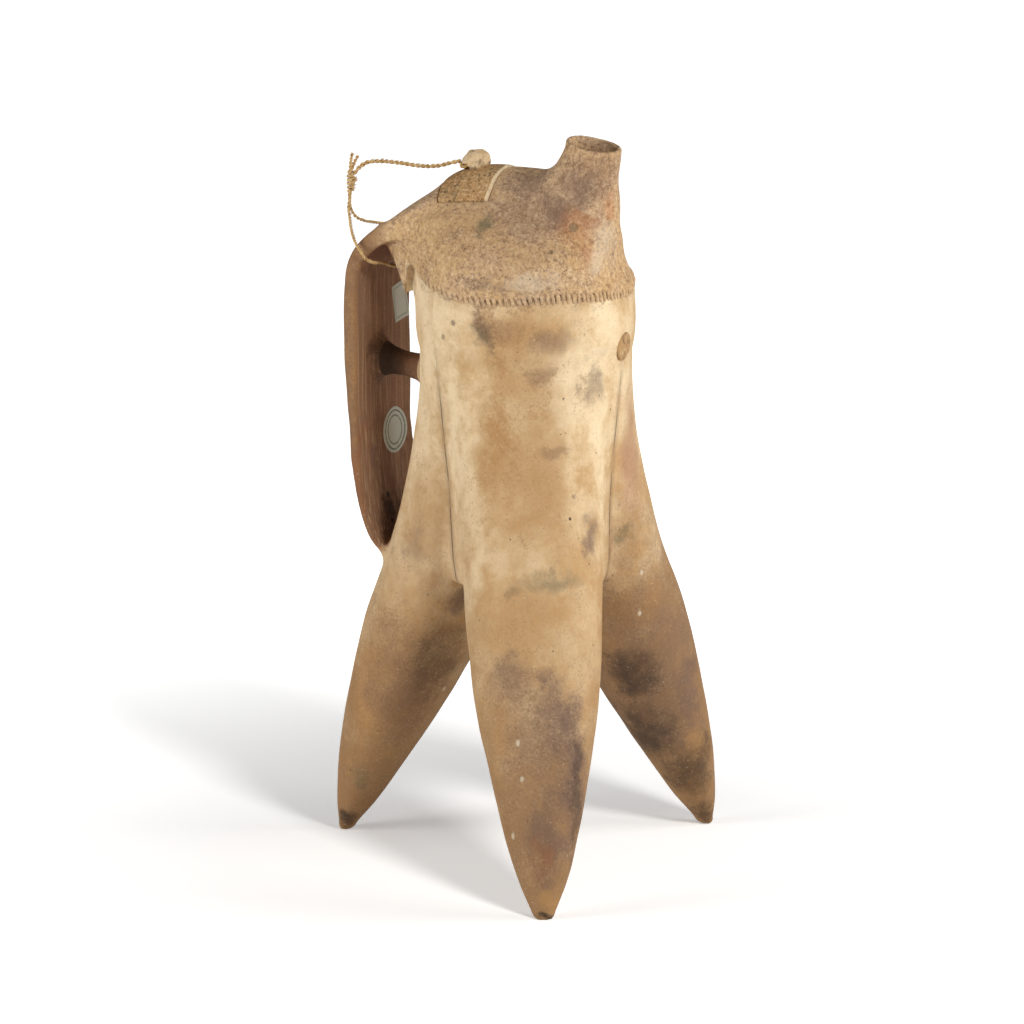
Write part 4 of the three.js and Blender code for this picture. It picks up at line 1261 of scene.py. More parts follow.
def leg_finish(name, piece):
    """Cream clay with tan mottling. The foot is browner, and the creases are darkened as painted shade."""
    made = Clay(name, "fawn", "sand", "ochre", 0.4)
    dome_coat(made)
    dome = made.base, made.height
    if name == "rear_leg":
        made.coat("ochre", "umber", "russet", 0.8)
        strap_coat(made)
        strap = made.base, made.height
    made.coat("cream", "sand", "ochre", 0.0)
    tall = made.part(made.warm, "Z")
    start, full, strength = BURNT[name]
    other = made.noise(made.place, 48, 6, 0.65, 4.2)
    # The rear leg's burnt clay is brown and red-brown, and it is darker than the others' as painted shadow of
    # the body and the near leg.
    if name == "rear_leg":
        share = made.smooth(made.blotch + made.stipple * 0.6, 0.3, 0.5)
        burnt = made.mix("ochre", "umber", share)
        burnt = made.mix(burnt, "russet", made.smooth(other, 0.4, 0.6) * 0.5)
    else:
        share = made.smooth(made.blotch + made.stipple * 0.5, 0.42, 0.66)
        burnt = made.mix("umber", "smoke", share)
        burnt = made.mix(burnt, "ochre", made.smooth(other + made.stipple * 0.4, 0.48, 0.66) * 0.6)
    burnt = made.mix(burnt, "soot", 0.25)
    share = made.smooth(tall, start, full) + made.stipple + (other - 0.5) * 1.5
    made.stain(burnt, made.smooth(share, 0.0, 1.1) * made.smooth(tall, start + 0.02, start) * strength)
    made.stain("ochre", made.smooth(tall + made.cloud * 0.05 + made.stipple * 0.04, 0.24, 0.1) * 0.5)
    made.mark(piece, MARKS[name])
    angle = LEG_TURNS[name]
    # Painted shade in the creases between the lobes: a brown band and a dark hairline, which the bump also
    # dents.
    for side in (1, -1):
        gap = across_plane(made, *leaned(angle + side * math.pi / 3))
        upright = made.smooth(tall, 0.268, 0.225) * made.smooth(tall, 0.12, 0.14)
        made.stain("umber", made.smooth(gap, 0.004, 0.0005) * upright * 0.3)
        line = made.smooth(gap, 0.0006, 0.0002) * upright * made.smooth(made.blotch, 0.35, 0.55)
        made.stain("soot", line * 0.6)
        made.height = made.height - line
    over = made.attribute("over_edge")
    made.stain("umber", made.smooth(over, -0.008, -0.001) * made.worn * 0.6)
    if name == "rear_leg":
        root = made.attribute("strap_root")
        made.show_under(strap, made.smooth(root + made.stipple * 0.3, 0.1, 0.7))
    made.show_under(dome, made.smooth(over, -0.0004, 0.0004))
    return made.end(speck=0.2)


def dome_coat(made):
    """Brown clouds and golden specks."""
    made.stain("umber", made.smooth(made.broad + made.stipple * 0.7, 0.42, 0.66) * 0.5)
    other = made.noise(made.place, 60, 6, 0.65, 3.3)
    made.stain("smoke", made.smooth(other + made.stipple * 0.8, 0.5, 0.74) * 0.6)
    fleck = made.noise(made.place, 420, 4, 0.7, 6.1)
    made.stain("umber", made.smooth(fleck, 0.52, 0.64) * 0.6)
    made.stain("cream", made.smooth(fleck, 0.47, 0.36) * 0.35)


def dome_finish(name, piece):
    """Speckled brown clay with a blush and a grey fire cloud."""
    made = Clay(name + "_finish", "fawn", "sand", "ochre", 0.4)
    dome_coat(made)
    made.mark(piece, MARKS[name])
    return made.end(0.0006)


def strap_coat(made):
    """Ochre lips, red-brown lower down, and a pink-brown channel drawn with the fingers. The channel is
    darker on its near side, a painted shadow of the near lip, and has painted shade in the vault.
    """
    hollow = made.attribute("hollow")
    across, tall = (made.part(made.warm, part) for part in "YZ")
    made.stain("umber", made.smooth(made.broad + made.stipple, 0.4, 0.6) * 0.6)
    made.stain("russet", made.smooth(tall, 0.215, 0.18) * made.smooth(made.stipple, -0.2, 0.1) * 0.6)
    drawn = made.vector("MULTIPLY", made.place, (900, 900, 14))
    streaks = made.noise(drawn, 1.0, 3.0, 0.5)
    # The channel's darker near side is a painted shadow of the near lip.
    clear_of_lip_shadow = made.smooth(across + made.stipple * 0.02, -0.022, 0.012)
    channel = made.mix("umber", "pink", clear_of_lip_shadow)
    channel = made.mix(channel, "russet", made.smooth(made.blotch, 0.48, 0.75) * 0.45)
    channel = made.mix(channel, "umber", made.smooth(streaks, 0.48, 0.72) * 0.6)
    channel = made.mix(channel, "fawn", made.smooth(streaks, 0.5, 0.3) * 0.45)
    # Red-brown in the vault under the strap's top, made darker there as painted shade.
    channel = made.mix(channel, "russet", made.smooth(tall, 0.282, 0.292) * 0.75)
    made.stain(channel, hollow)
    made.height = made.height + streaks * hollow * 0.7


def strap_finish(piece):
    """The strap's clay, which runs over into that of the dome at its root."""
    made = Clay("strap_finish", "fawn", "sand", "ochre", 0.4)
    dome_coat(made)
    dome = made.base, made.height
    made.coat("ochre", "umber", "russet", 0.8)
    strap_coat(made)
    hollow = made.attribute("hollow")
    along, tall = (made.part(made.place, axis) for axis in "XZ")
    start, end = AXIS_X + ROOT_X - 0.016, AXIS_X + ROOT_X - 0.001
    share = made.smooth(along + made.stipple * 0.01, start, end) * made.smooth(tall, 0.26, 0.28)
    made.show_under(dome, share * (1 - made.smooth(hollow, 0.1, 0.8)))
    made.mark(piece, MARKS["strap"])
    return made.end(0.0006)


def strut_finish():
    """Nearly black at the strap, as painted shade where it meets the strap, and red-brown at the body."""
    made = Clay("strut_finish", "umber", "umber", "soot", 1.2)
    along = made.part(made.place, "X") + made.stipple * 0.004
    made.stain("pink", made.smooth(along, AXIS_X - 0.066, AXIS_X - 0.058) * 0.4)
    # Painted shade where the strut meets the strap.
    made.stain("soot", made.smooth(along, AXIS_X - 0.06, AXIS_X - 0.07) * 0.85)
    return made.end(0.0007)


def lid_finish():
    """Granular clay between tan and grey-green, with a pale strip at its front edge."""
    made = Clay("lid_finish", "sand", "ochre", "moss", 1.6)
    grains = made.noise(made.place, 620, 4, 0.75, 2.2)
    made.stain("soot", made.smooth(grains + made.cloud * 0.15, 0.52, 0.62) * 0.75)
    made.stain("cream", made.smooth(grains + made.cloud * 0.1, 0.44, 0.34) * 0.6)
    ahead = made.attribute("ahead")
    ragged = ahead + made.wear * 0.03
    made.stain("cream", made.smooth(ragged, 0.05, 0.035) * 0.85)
    made.height = made.height + grains * 0.8
    return made.end(0.0006)


def ochre_finish(name, pale, middle, shift):
    """Rough ochre clay, for the knob and the pellet."""
    made = Clay(name, pale, middle, "umber", shift)
    made.stain("umber", made.smooth(made.wear + made.cloud * 0.2, 0.5, 0.62) * 0.75)
    made.stain("cream", made.smooth(made.wear, 0.46, 0.36) * 0.5)
    return made.end(0.0012)


def band_finish():
    """Brown clay, darkened as painted shade in the notches pressed into it."""
    made = Clay("band_finish", "fawn", "sand", "ochre", 0.4)
    dome_coat(made)
    pressed = made.attribute("pressed")
    made.stain("fawn", made.smooth(pressed, 0.3, 0.05) * 0.35)
    # Painted shade in the pressed notches.
    made.stain("soot", made.smooth(pressed, 0.25, 0.7) * 0.9)
    return made.end(0.0006)


def fibre_finish():
    """Dry plant fibre: fine strands along each ply, dark in the furrows between plies."""
    made = Finish("fibre")
    along = made.attribute("along")
    round_it = made.attribute("round_ply")
    lay = made.combine(along * 160, round_it * 9)
    strands = made.noise(lay, 1.0, 4.0, 0.5)
    patch = made.noise(made.place, 180, 3)
    base = made.mix("straw", PALE_STRAND, made.smooth(strands, 0.48, 0.62))
    base = made.mix(base, DARK_STRAND, made.smooth(strands, 0.46, 0.34) * 0.8)
    base = made.mix(base, "ochre", made.smooth(patch, 0.5, 0.62) * 0.5)
    return made.finish(base, 0.8, strands, 0.0002)


def label_finish(name, lines):
    """Aged paper. The lines are drawn by the function, from the label's own coordinates."""
    made = Finish(name)
    stain = made.noise(made.place, 120, 5, 0.65)
    base = made.mix("paper", AGED, made.smooth(stain, 0.5, 0.72) * 0.5)
    ink = lines(made) * made.smooth(made.noise(made.place, 1500, 3), 0.3, 0.5)
    base = made.mix(base, "ink", ink)
    fibres = made.noise(made.place, 1800, 3)
    return made.finish(base, 0.75, fibres + stain, 0.00006)


def rings(made):
    """Two plain rings."""
    a, b = made.attribute("wide"), made.attribute("tall")
    far = made.math("SQRT", a * a + b * b)
    total = 0.0
    for radius, half in ((0.84, 0.03), (0.62, 0.025)):
        total = made.smooth(made.math("ABSOLUTE", far - radius), half + 0.02, half) + total
    return total


def dotted_frame(made):
    """A plain dotted line along the edge."""
    a, b = made.attribute("wide"), made.attribute("tall")
    a_off, b_off = made.math("ABSOLUTE", a), made.math("ABSOLUTE", b)
    edge = made.math("MAXIMUM", a_off, b_off)
    line = made.smooth(made.math("ABSOLUTE", edge - 0.8), 0.07, 0.03)
    dots = made.math("SINE", a * 42) * made.math("SINE", b * 60 + 1.57)
    return line * made.smooth(dots, -0.3, 0.3)


def note(piece, name, numbers):
    """Writes one number to each point of the piece, for its material."""
    attribute = piece.data.attributes.new(name, "FLOAT", "POINT")
    attribute.data.foreach_set("value", np.asarray(numbers, np.float32))


def points_of(piece):
    """The piece's points, from the body's axis."""
    points = np.zeros(len(piece.data.vertices) * 3)
    piece.data.vertices.foreach_get("co", points)
    return points.reshape(-1, 3) - (AXIS_X, 0, 0)


def mark_hollow(piece):
    """Marks the strap's hollowed side, from how far each point faces the body or down."""
    facing = np.zeros(len(piece.data.vertices) * 3)
    piece.data.vertices.foreach_get("normal", facing)
    facing = facing.reshape(-1, 3)
    inwards = np.maximum(facing[:, 0], -facing[:, 2] * (points_of(piece)[:, 2] > VAULT_HEIGHT))
    side = np.abs(points_of(piece)[:, 1]) / settings("handle").half_width
    note(piece, "hollow", np.clip(inwards / 0.5, 0, 1) * np.clip((0.97 - side) / 0.2, 0, 1))


# Cord, knot, seam and labels


def ply_tree():
    """Two plies twisted round a line of edges, with fuzz on them."""
    tree = Growth("two_ply", {"Radius": "Float", "Lay": "Float", "Fuzz": "Float", "Material": "Material"})
    radius, lay = tree.input("Radius"), tree.input("Lay")
    line = tree.node("GeometryNodeMeshToCurve", None, {0: tree.input("Geometry")})
    step = {"Curve": line, "Length": radius * 0.35}
    line = tree.node("GeometryNodeResampleCurve", {"mode": "LENGTH"}, step)
    gone = tree.node("GeometryNodeSplineParameter", out="Length")
    wobble = tree.node("ShaderNodeTexNoise", None, {"Scale": 240.0, "Detail": 1.0})
    twist = gone / lay * math.tau + wobble * 2
    line = tree.node("GeometryNodeSetCurveTilt", None, {"Curve": line, "Tilt": twist})
    line = tree.store(line, "along", gone)
    ply = tree.store(tree.circle(10, radius * 0.56), "round_ply", tree.node("GeometryNodeSplineParameter"))
    pair = []
    for side in (-0.5, 0.5):
        move = {"Geometry": ply, "Translation": tree.combine(radius * side)}
        pair.append(tree.node("GeometryNodeTransform", None, move))
    cord = tree.swept(line, tree.node("GeometryNodeJoinGeometry", None, {0: pair}))
    frayed = tree.node("ShaderNodeTexNoise", None, {"Scale": 1300.0, "Detail": 2.0}) - 0.5
    out = tree.scaled(tree.node("GeometryNodeInputNormal"), frayed * radius * 0.35)
    cord = tree.node("GeometryNodeSetPosition", None, {"Geometry": cord, "Offset": out})
    spread = {"Mesh": cord, "Density": tree.input("Fuzz"), "Seed": 4}
    roots = tree.node("GeometryNodeDistributePointsOnFaces", None, spread)
    stem = tree.node("GeometryNodeCurvePrimitiveLine", None, {"Start": HAIR_START, "End": HAIR_END})
    hair = tree.swept(stem, tree.circle(3, HAIR_RADIUS))
    sizes = {"Min": 0.5, "Max": 1.3, "Seed": 7}
    size = tree.node("FunctionNodeRandomValue", {"data_type": "FLOAT"}, sizes, "Value")
    sown = {"Points": roots, "Instance": hair, "Scale": size}
    hairs = tree.node("GeometryNodeInstanceOnPoints", None, sown)
    tree.end(tree.node("GeometryNodeJoinGeometry", None, {0: [cord, hairs]}), tree.input("Material"))
    return tree


def framed(points):
    """Points given from the body's axis, in the object's own frame."""
    return [(x + AXIS_X, y, z) for x, y, z in points]


def line_mesh(name, points):
    """A line of edges through points given from the body's axis."""
    mesh = bpy.data.meshes.new(name + "_line")
    mesh.from_pydata(framed(points), [(k, k + 1) for k in range(len(points) - 1)], [])
    return mesh


class EWER_OT_cord(bpy.types.Operator):
    """Twist the cord between the lid's knob and the handle, with its knot"""

    bl_idname = "ewer.cord"
    bl_label = "Cord"

    def execute(self, context):
        s = settings("detail")
        tree, fibre = ply_tree(), fibre_finish()
        routes = {
            "tether": (TETHER, s.tether_radius),
            "knob_loop": (KNOB_LOOP, s.strand_radius),
            "handle_loop": (HANDLE_LOOP, s.strand_radius),
            "tail_long": (TAIL_LONG, s.strand_radius),
            "tail_short": (TAIL_SHORT, s.strand_radius),
        }
        made, lines = {}, {}
        for name, (route, radius) in routes.items():
            lines[name] = curve_through(route, 8)
            values = {
                "Radius": radius, "Lay": s.lay_length * radius / LAY_RADIUS,
                "Fuzz": LOOP_FUZZ if name == "handle_loop" else FUZZ, "Material": fibre,
            }
            made[name] = tree.bake(name, line_mesh(name, lines[name]), values)
            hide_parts("cord_" + name)
        turns = np.linspace(0, 1, 110)
        around = math.tau * KNOT_TURNS * turns
        wrap = KNOT_RADIUS + KNOT_SWELL * np.sin(math.pi * turns)
        rise = KNOT_LENGTH * turns - KNOT_LENGTH / 2
        coil = np.stack([wrap * np.cos(around), wrap * np.sin(around), rise], 1)
        values = {
            "Radius": s.strand_radius, "Lay": s.lay_length * 0.8, "Fuzz": KNOT_FUZZ, "Material": fibre,
        }
        knots = []
        for k, part in enumerate((coil, curve_through(KNOT_ACROSS, 8))):
            knots.append(tree.bake(f"knot_{k}", line_mesh("knot", part + KNOT_PLACE), values))
        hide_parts("cord_knot")
        for piece in (*knots, made["tether"], made["knob_loop"], made["tail_long"], made["tail_short"]):
            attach(piece, "lid")
        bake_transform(made["handle_loop"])
        return {"FINISHED"}


def band_tree():
    """A coil of clay round the seam, pressed in at slanting notches."""
    names = {
        "Half Height": "Float", "Proud": "Float", "Height": "Float", "Slope": "Float",
        "Notches": "Float", "Depth": "Float", "Middle": "Float", "Material": "Material",
    }
    tree = Growth("pressed_band", names)
    half, proud = tree.input("Half Height"), tree.input("Proud")
    ring = tree.node("GeometryNodeMeshToCurve", None, {0: tree.input("Geometry")})
    ring = tree.node("GeometryNodeSetCurveNormal", {"mode": "Z_UP"}, {"Curve": ring})
    oval = {"Geometry": tree.circle(18, 1.0), "Scale": tree.combine(proud, half, 1.0)}
    band = tree.swept(ring, tree.node("GeometryNodeTransform", None, oval), False)
    at = tree.node("GeometryNodeInputPosition")
    x, y, z = (tree.part(at, part) for part in "XYZ")
    angle = tree.math("ARCTAN2", y, x) / math.tau + 0.5
    drift = tree.noise(at, 110.0, 1.0, 0.5)
    slant = tree.smooth(x, 0.03, -0.04) * 190 + 40
    spread = tree.math("SINE", angle * (2 * math.tau) + 1.04) * 0.012
    count = (angle + spread) * tree.input("Notches") + z * slant + drift * 0.9
    notch = tree.math("FLOOR", count)
    chance = tree.node("ShaderNodeTexWhiteNoise", {"noise_dimensions": "1D"}, {"W": notch}, "Value")
    off = tree.math("ABSOLUTE", count - notch - 0.5)
    press = tree.smooth(off, 0.3, 0.08) * (chance * 0.75 + 0.4)
    band = tree.store(band, "pressed", press)
    rough = tree.noise(at, 420.0, 3.0, 0.5) - 0.5
    chipped = tree.smooth(x, 0.0, 0.045) * 0.0012 + 0.0006
    inward = press * tree.input("Depth") + rough * chipped
    shift = tree.scaled(tree.vector("NORMALIZE", tree.combine(x, y)), inward * -1.0)
    wave = tree.noise(at, 45.0, 1.0, 0.5) - 0.5
    rise = tree.input("Height") + x * tree.input("Slope") + wave * 0.0016
    moved = tree.vector("ADD", shift, tree.combine(tree.input("Middle"), 0.0, rise))
    band = tree.node("GeometryNodeSetPosition", None, {"Geometry": band, "Offset": moved})
    tree.end(band, tree.input("Material"))
    return tree


class EWER_OT_band(bpy.types.Operator):
    """Press the notched band round the seam"""

    bl_idname = "ewer.band"
    bl_label = "Seam Band"

    def execute(self, context):
        b, s = settings("body"), settings("detail")
        values = {
            "Half Height": s.band_half, "Proud": s.band_proud, "Height": b.seam_height,
            "Slope": -b.seam_fall / (2 * b.radius), "Notches": float(s.notch_count),
            "Depth": s.notch_depth, "Middle": AXIS_X, "Material": band_finish(),
        }
        count, reach = BAND_POINTS, b.radius + BAND_OFF
        angles = [math.tau * k / count for k in range(count)]
        ring = bpy.data.meshes.new("seam")
        places = [(reach * math.cos(angle), reach * math.sin(angle)) for angle in angles]
        points = [(x, y, -float(seam_sag(x, y))) for x, y in places]
        ring.from_pydata(points, [(k, (k + 1) % count) for k in range(count)], [])
        piece = band_tree().bake("seam_band", ring, values)
        dress(piece, "vessel", "luting_band")
        return {"FINISHED"}


class EWER_OT_labels(bpy.types.Operator):
    """Lay the two bare labels in the handle's channel"""

    bl_idname = "ewer.labels"
    bl_label = "Labels"

    def execute(self, context):
        s = settings("handle")
        strap = bpy.data.objects["strap_clay"]
        r, w, l = s.round_radius, s.square_width / 2, s.square_length / 2
        self.lay(strap, "round_paper", "round_label", (s.round_offset, s.round_height), r, r, 0, rings)
        place = (s.square_offset, s.square_height)
        self.lay(strap, "square_paper", "square_label", place, w, l, s.square_turn, dotted_frame)
        return {"FINISHED"}

    def lay(self, strap, name, node, place, half_wide, half_tall, angle, lines):
        """A thin plate that follows the clay behind it, as a disc or a rectangle."""
        count = LABEL_SQUARES
        steps = np.linspace(-1, 1, count + 1)
        across, up = (part.ravel() for part in np.meshgrid(steps, steps, indexing="ij"))
        if lines is rings:
            across, up = across * np.sqrt(1 - up**2 / 2), up * np.sqrt(1 - across**2 / 2)
        c, n = math.cos(angle), math.sin(angle)
        y = place[0] + across * half_wide * c - up * half_tall * n
        z = place[1] + across * half_wide * n + up * half_tall * c
        points = []
        for lift in LABEL_FACES:
            for py, pz in zip(y, z):
                start = Vector((AXIS_X - LABEL_FROM, py, pz))
                hit, point, _, _ = strap.ray_cast(start, Vector((-1, 0, 0)))
                if not hit:
                    raise RuntimeError(name + " lies beside the strap")
                points.append(point + Vector((lift, 0, 0)))
        side = count + 1
        faces = []
        for i in range(count):
            for j in range(count):
                a = i * side + j
                quad = (a, a + side, a + side + 1, a + 1)
                faces.append(quad)
                faces.append(tuple(k + side * side for k in reversed(quad)))
        rim = [*range(side), *(k * side + count for k in range(1, side))]
        rim += [count * side + j for j in range(count - 1, -1, -1)]
        rim += [k * side for k in range(count - 1, 0, -1)]
        for a, b in zip(rim, rim[1:] + rim[:1]):
            faces.append((a, b, b + side * side, a + side * side))
        mesh = bpy.data.meshes.new(name)
        mesh.from_pydata([tuple(point) for point in points], [], faces)
        clean = bmesh.new()
        clean.from_mesh(mesh)
        bmesh.ops.recalc_face_normals(clean, faces=clean.faces)
        clean.to_mesh(mesh)
        clean.free()
        piece = show(name, mesh)
        note(piece, "wide", np.tile(across, 2))
        note(piece, "tall", np.tile(up, 2))
        dress(piece, "vessel", node, label_finish(name + "_finish", lines))


class EWER_OT_legs(bpy.types.Operator):
    """Model the three hollow legs with their thirds of the body"""

    bl_idname = "ewer.legs"
    bl_label = "Legs"

    def execute(self, context):
        level, up = seam_plane()
        for name, angle in LEG_TURNS.items():
            grid = Field(*BOXES[name], settings("detail").leg_step)
            field = grid.clay(*(("body", "top", "strap") if name == "rear_leg" else ("body",)))
            point, after = leaned(angle + math.pi / 3)
            before = turned(leaned(angle - math.pi / 3)[1])
            cuts = [(point, after, None), (point, before, None), (level, up, None)]
            if name == "rear_leg":
                cuts.append(((ROOT_X, 0, 0), (-1, 0, 0), TOP_ZONE))
                cuts.append((FOOT_POINT, FOOT_AWAY, FOOT_ZONE))
            foot = settings("body").foot_circle
            seed = (foot * math.cos(angle), foot * math.sin(angle), 0)
            piece = clay_piece(name + "_clay", grid, field, cuts, seed)
            x, y, z = points_of(piece).T
            web = (x < WEB_X) & (z > WEB_Z)
            note(piece, "over_edge", np.where(web, 0.002, over_edge(x, y, z)))
            if name == "rear_leg":
                mark_hollow(piece)
                root = np.clip((COAT_X - x) / COAT_RUN, 0, 1) * np.clip((z - COAT_Z) / COAT_RISE, 0, 1)
                note(piece, "strap_root", root)
            dress(piece, "vessel", name, leg_finish(name, piece))
        return {"FINISHED"}


class EWER_OT_dome(bpy.types.Operator):
    """Model the dome with its fill hole, and the spout on it"""

    bl_idname = "ewer.dome"
    bl_label = "Dome and Spout"

    def execute(self, context):
        step = settings("detail").top_step
        level, up = seam_plane()
        joint, spout_up = spout_plane()
        grid = Field(*BOXES["dome"], step)
        field = shared(grid.clay("top", "strap"), -grid.lid_block(0), HOLE_ROUND)
        cuts = [(level, turned(up), None), (joint, spout_up, None), ((ROOT_X, 0, 0), (-1, 0, 0), None)]
        piece = clay_piece("dome_clay", grid, field, cuts, SEEDS["dome"])
        dress(piece, "vessel", "upper_dome", dome_finish("dome", piece))
        grid = Field(*BOXES["spout"], 0.8 * step)
        field = shared(grid.clay("top"), -grid.lid_block(0), HOLE_ROUND)
        cuts = [(joint, turned(spout_up), None)]
        piece = clay_piece("spout_clay", grid, field, cuts, SEEDS["spout"])
        dress(piece, "vessel", "spout", dome_finish("spout", piece))
        return {"FINISHED"}


class EWER_OT_handle(bpy.types.Operator):
    """Model the strap handle and the strut behind it"""

    bl_idname = "ewer.handle"
    bl_label = "Handle"

    def execute(self, context):
        step = settings("detail").top_step
        grid = Field(*BOXES["strap"], step)
        field = grid.clay("body", "top", "strap")
        cuts = [
            ((ROOT_X, 0, 0), (1, 0, 0), TOP_ZONE),
            (FOOT_POINT, turned(FOOT_AWAY), FOOT_ZONE),
            ((STRUT_X, 0, 0), (1, 0, 0), STRUT_ZONE),
        ]
        piece = clay_piece("strap_clay", grid, field, cuts, SEEDS["strap"])
        mark_hollow(piece)
        dress(piece, "vessel", "handle_strap", strap_finish(piece))
        grid = Field(*BOXES["strut"], 0.8 * step)
        field = grid.clay("body", "strap")
        cuts = [((ROOT_X, 0, 0), (1, 0, 0), None), ((STRUT_X, 0, 0), (-1, 0, 0), None)]
        piece = clay_piece("strut_clay", grid, field, cuts, SEEDS["strut"])
        dress(piece, "vessel", "handle_strut", strut_finish())
        return {"FINISHED"}


class EWER_OT_lid(bpy.types.Operator):
    """Model the lid and its pierced knob"""

    bl_idname = "ewer.lid"
    bl_label = "Lid"

    def execute(self, context):
        s, detail = settings("dome"), settings("detail")
        grid = Field(*BOXES["lid"], detail.fine_step)
        dome = grid.dome() - detail.hand_lumps * grid.lumps(BIG_LUMP, 1)
        dome = dome - LID_SHARE * detail.hand_lumps * grid.lumps(LID_LUMP, 5)
        slab = shared(dome - s.lid_proud, -dome - s.wall, FACE_ROUND)
        field = shared(slab, grid.lid_block(s.lid_fit) - EDGE_DEPTH * grid.lumps(EDGE_LUMP, 6), LID_EDGE)
        piece = clay_piece("lid_clay", grid, field, [], SEEDS["lid"])
        ahead = (points_of(piece)[:, 0] - s.lid_centre) / math.cos(s.lid_tilt)
        note(piece, "ahead", 0.5 - ahead / s.lid_length)
        dress(piece, "lid", "lid_panel", lid_finish())
        grid = Field(*BOXES["knob"], 0.8 * detail.fine_step)
        x, y, z = grid.lid_place()
        z = z - (s.knob_half - s.knob_sink + s.lid_proud - KNOB_LOWER)
        far = np.sqrt((x / s.knob_radius) ** 2 + (y / s.knob_radius) ** 2 + (z / s.knob_half) ** 2)
        ball = grid.even((far - 1) * s.knob_half)
        ball = ball + CHIP_LOSS - CHIP_DEPTH * grid.lumps(BIG_CHIP, 9)
        ball = ball - CHIP_DEPTH * grid.lumps(SMALL_CHIP, 8)
        low = z + s.knob_half - s.knob_sink
        hole = np.hypot(x + HOLE_ASIDE * s.knob_radius, low - s.string_hole - HOLE_OFF) - s.string_hole
        field = shared(shared(ball, -hole, RIM_ROUND), -low, SEAT_ROUND)
        piece = clay_piece("knob_clay", grid, field, [], SEEDS["knob"])
        finish = ochre_finish("knob_finish", "cream", "sand", 2.4)
        dress(piece, "lid", "lid_knob", finish)
        return {"FINISHED"}


class EWER_OT_pellet(bpy.types.Operator):
    """Model the pellet pressed on under the spout"""

    bl_idname = "ewer.pellet"
    bl_label = "Pellet"

    def execute(self, context):
        s, b = settings("handle"), settings("body")
        middle, half = b.seam_height - s.pellet_drop, PELLET_BOX
        low, high = (PELLET_BACK, -half, middle - half), (PELLET_FRONT, half, middle + half)
        grid = Field(low, high, PELLET_STEP)
        skin_x = b.radius - LOBE_INSET
        wide = np.hypot(grid.y, grid.z - middle)
        out = grid.x - skin_x + PELLET_SINK
        ragged = RAG_DEPTH * grid.lumps(RAG_SIZE, 11)
        disc = shared(wide - s.pellet_radius - ragged, out - s.pellet_proud, PELLET_ROUND)
        peak = np.sqrt((out - PEAK_PLACE) ** 2 + wide**2 * 0.5) - PEAK_RADIUS
        field = np.maximum(joined(disc, peak, PEAK_FILLET), -out - PELLET_DEPTH)
        piece = clay_piece("pellet_clay", grid, field, [], (skin_x, 0, middle))
        finish = ochre_finish("pellet_finish", "sand", "ochre", 2.8)
        dress(piece, "vessel", "front_pellet", finish)
        return {"FINISHED"}


class EWER_OT_camera(bpy.types.Operator):
    """Set the camera at the picture's angle"""

    bl_idname = "ewer.camera"
    bl_label = "Camera"

    def execute(self, context):
        s = settings("stage")
        camera = bpy.data.objects.new("camera", bpy.data.cameras.new("camera"))
        context.scene.collection.objects.link(camera)
        camera.data.lens = s.lens
        camera.data.clip_end = 20
        camera.location = eye()
        camera.rotation_euler = (-view_axes()[2]).to_track_quat("-Z", "Y").to_euler()
        context.scene.camera = camera
        return {"FINISHED"}


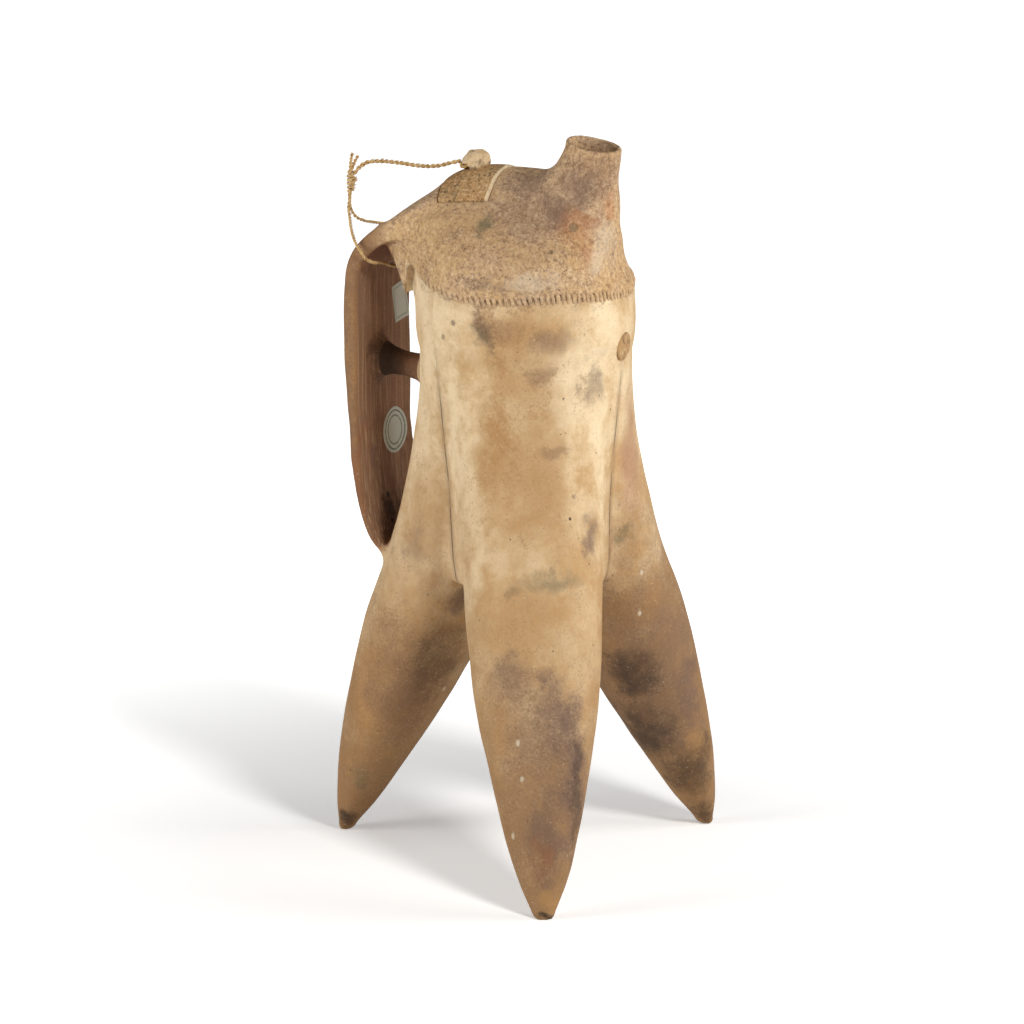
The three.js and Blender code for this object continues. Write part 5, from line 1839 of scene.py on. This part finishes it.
class EWER_OT_stage(bpy.types.Operator):
    """Lay a pale floor and light it softly from both sides"""

    bl_idname = "ewer.stage"
    bl_label = "Stage"

    def execute(self, context):
        s = settings("stage")
        made = Finish("floor_paint")
        rays = made.node("ShaderNodeLightPath", out="Is Camera Ray")
        glossy = made.node("ShaderNodeLightPath", out="Is Glossy Ray")
        seen = made.math("MAXIMUM", rays, glossy)
        away = made.smooth(made.vector("LENGTH", made.place, out="Value"), GLOW_START, GLOW_END)
        glow = seen * (away * (s.far_glow - s.floor_glow) + s.floor_glow)
        made.finish((0.92, 0.92, 0.92, 1), 0.9, **{
            "Specular IOR Level": 0.0, "Emission Color": made.mix((0, 0, 0, 1), (1, 1, 1, 1), glow),
            "Emission Strength": 1.0,
        })
        bpy.ops.mesh.primitive_circle_add(vertices=96, radius=FLOOR_RADIUS, fill_type="NGON")
        floor = context.object
        floor.name = "floor"
        floor.data.materials.append(made.material)
        across = Vector((math.cos(s.azimuth), math.sin(s.azimuth), 0))
        near = Vector((math.sin(s.azimuth), -math.cos(s.azimuth), 0))
        lamps = {
            "key": (s.key_place, s.key_size, s.key_power, (1.0, 0.985, 0.96)),
            "left": (s.left_place, s.left_size, s.left_power, (1.0, 0.99, 0.97)),
            "right": (s.right_place, s.right_size, s.right_power, (1.0, 0.99, 0.98)),
        }
        for name, (spot, size, power, tint) in lamps.items():
            lamp = bpy.data.objects.new(name, bpy.data.lights.new(name, "AREA"))
            context.scene.collection.objects.link(lamp)
            lamp.data.shape, lamp.data.size = "DISK", size
            lamp.data.energy, lamp.data.color = power, tint
            lamp.location = across * spot[0] + near * spot[1] + Vector((0, 0, spot[2]))
            aim = Vector((0, 0, 0.18)) - lamp.location
            lamp.rotation_euler = aim.to_track_quat("-Z", "Y").to_euler()
        world = bpy.data.worlds.new("studio")
        context.scene.world = world
        world.use_nodes = True
        sky = Tree(world.node_tree)
        share = sky.node("ShaderNodeLightPath", out="Is Camera Ray")
        strength = sky.node("ShaderNodeMapRange", None, {"Value": share, "To Min": s.sky, "To Max": 1.0})
        light = sky.node("ShaderNodeBackground", None, {"Color": (1, 1, 1, 1), "Strength": strength})
        sky.node("ShaderNodeOutputWorld", None, {"Surface": light})
        context.scene.view_settings.view_transform = "Standard"
        return {"FINISHED"}


OPERATORS = [
    EWER_OT_camera,
    EWER_OT_cord,
    EWER_OT_legs,
    EWER_OT_dome,
    EWER_OT_handle,
    EWER_OT_lid,
    EWER_OT_pellet,
    EWER_OT_band,
    EWER_OT_labels,
    EWER_OT_stage,
]


class EWER_PT_panel(bpy.types.Panel):
    """The ewer's pieces, in the order in which they are made"""

    bl_idname = "EWER_PT_panel"
    bl_label = "Tripod Ewer"
    bl_space_type = "VIEW_3D"
    bl_region_type = "UI"
    bl_category = "Ewer"

    def draw(self, context):
        for operator in OPERATORS:
            self.layout.operator(operator.bl_idname)
        for name in SETTINGS:
            group = getattr(context.scene, name)
            box = self.layout.box()
            for key in group.__annotations__:
                box.prop(group, key)


def register():
    for cls in (*SETTINGS.values(), *OPERATORS, EWER_PT_panel):
        bpy.utils.register_class(cls)
    for name, cls in SETTINGS.items():
        setattr(bpy.types.Scene, name, PointerProperty(type=cls))


def unregister():
    for name in SETTINGS:
        delattr(bpy.types.Scene, name)
    for cls in (EWER_PT_panel, *reversed(OPERATORS), *reversed(SETTINGS.values())):
        bpy.utils.unregister_class(cls)


def main():
    register()
    for operator in OPERATORS:
        package, name = operator.bl_idname.split(".")
        getattr(getattr(bpy.ops, package), name)()


if __name__ == "__main__":
    main()
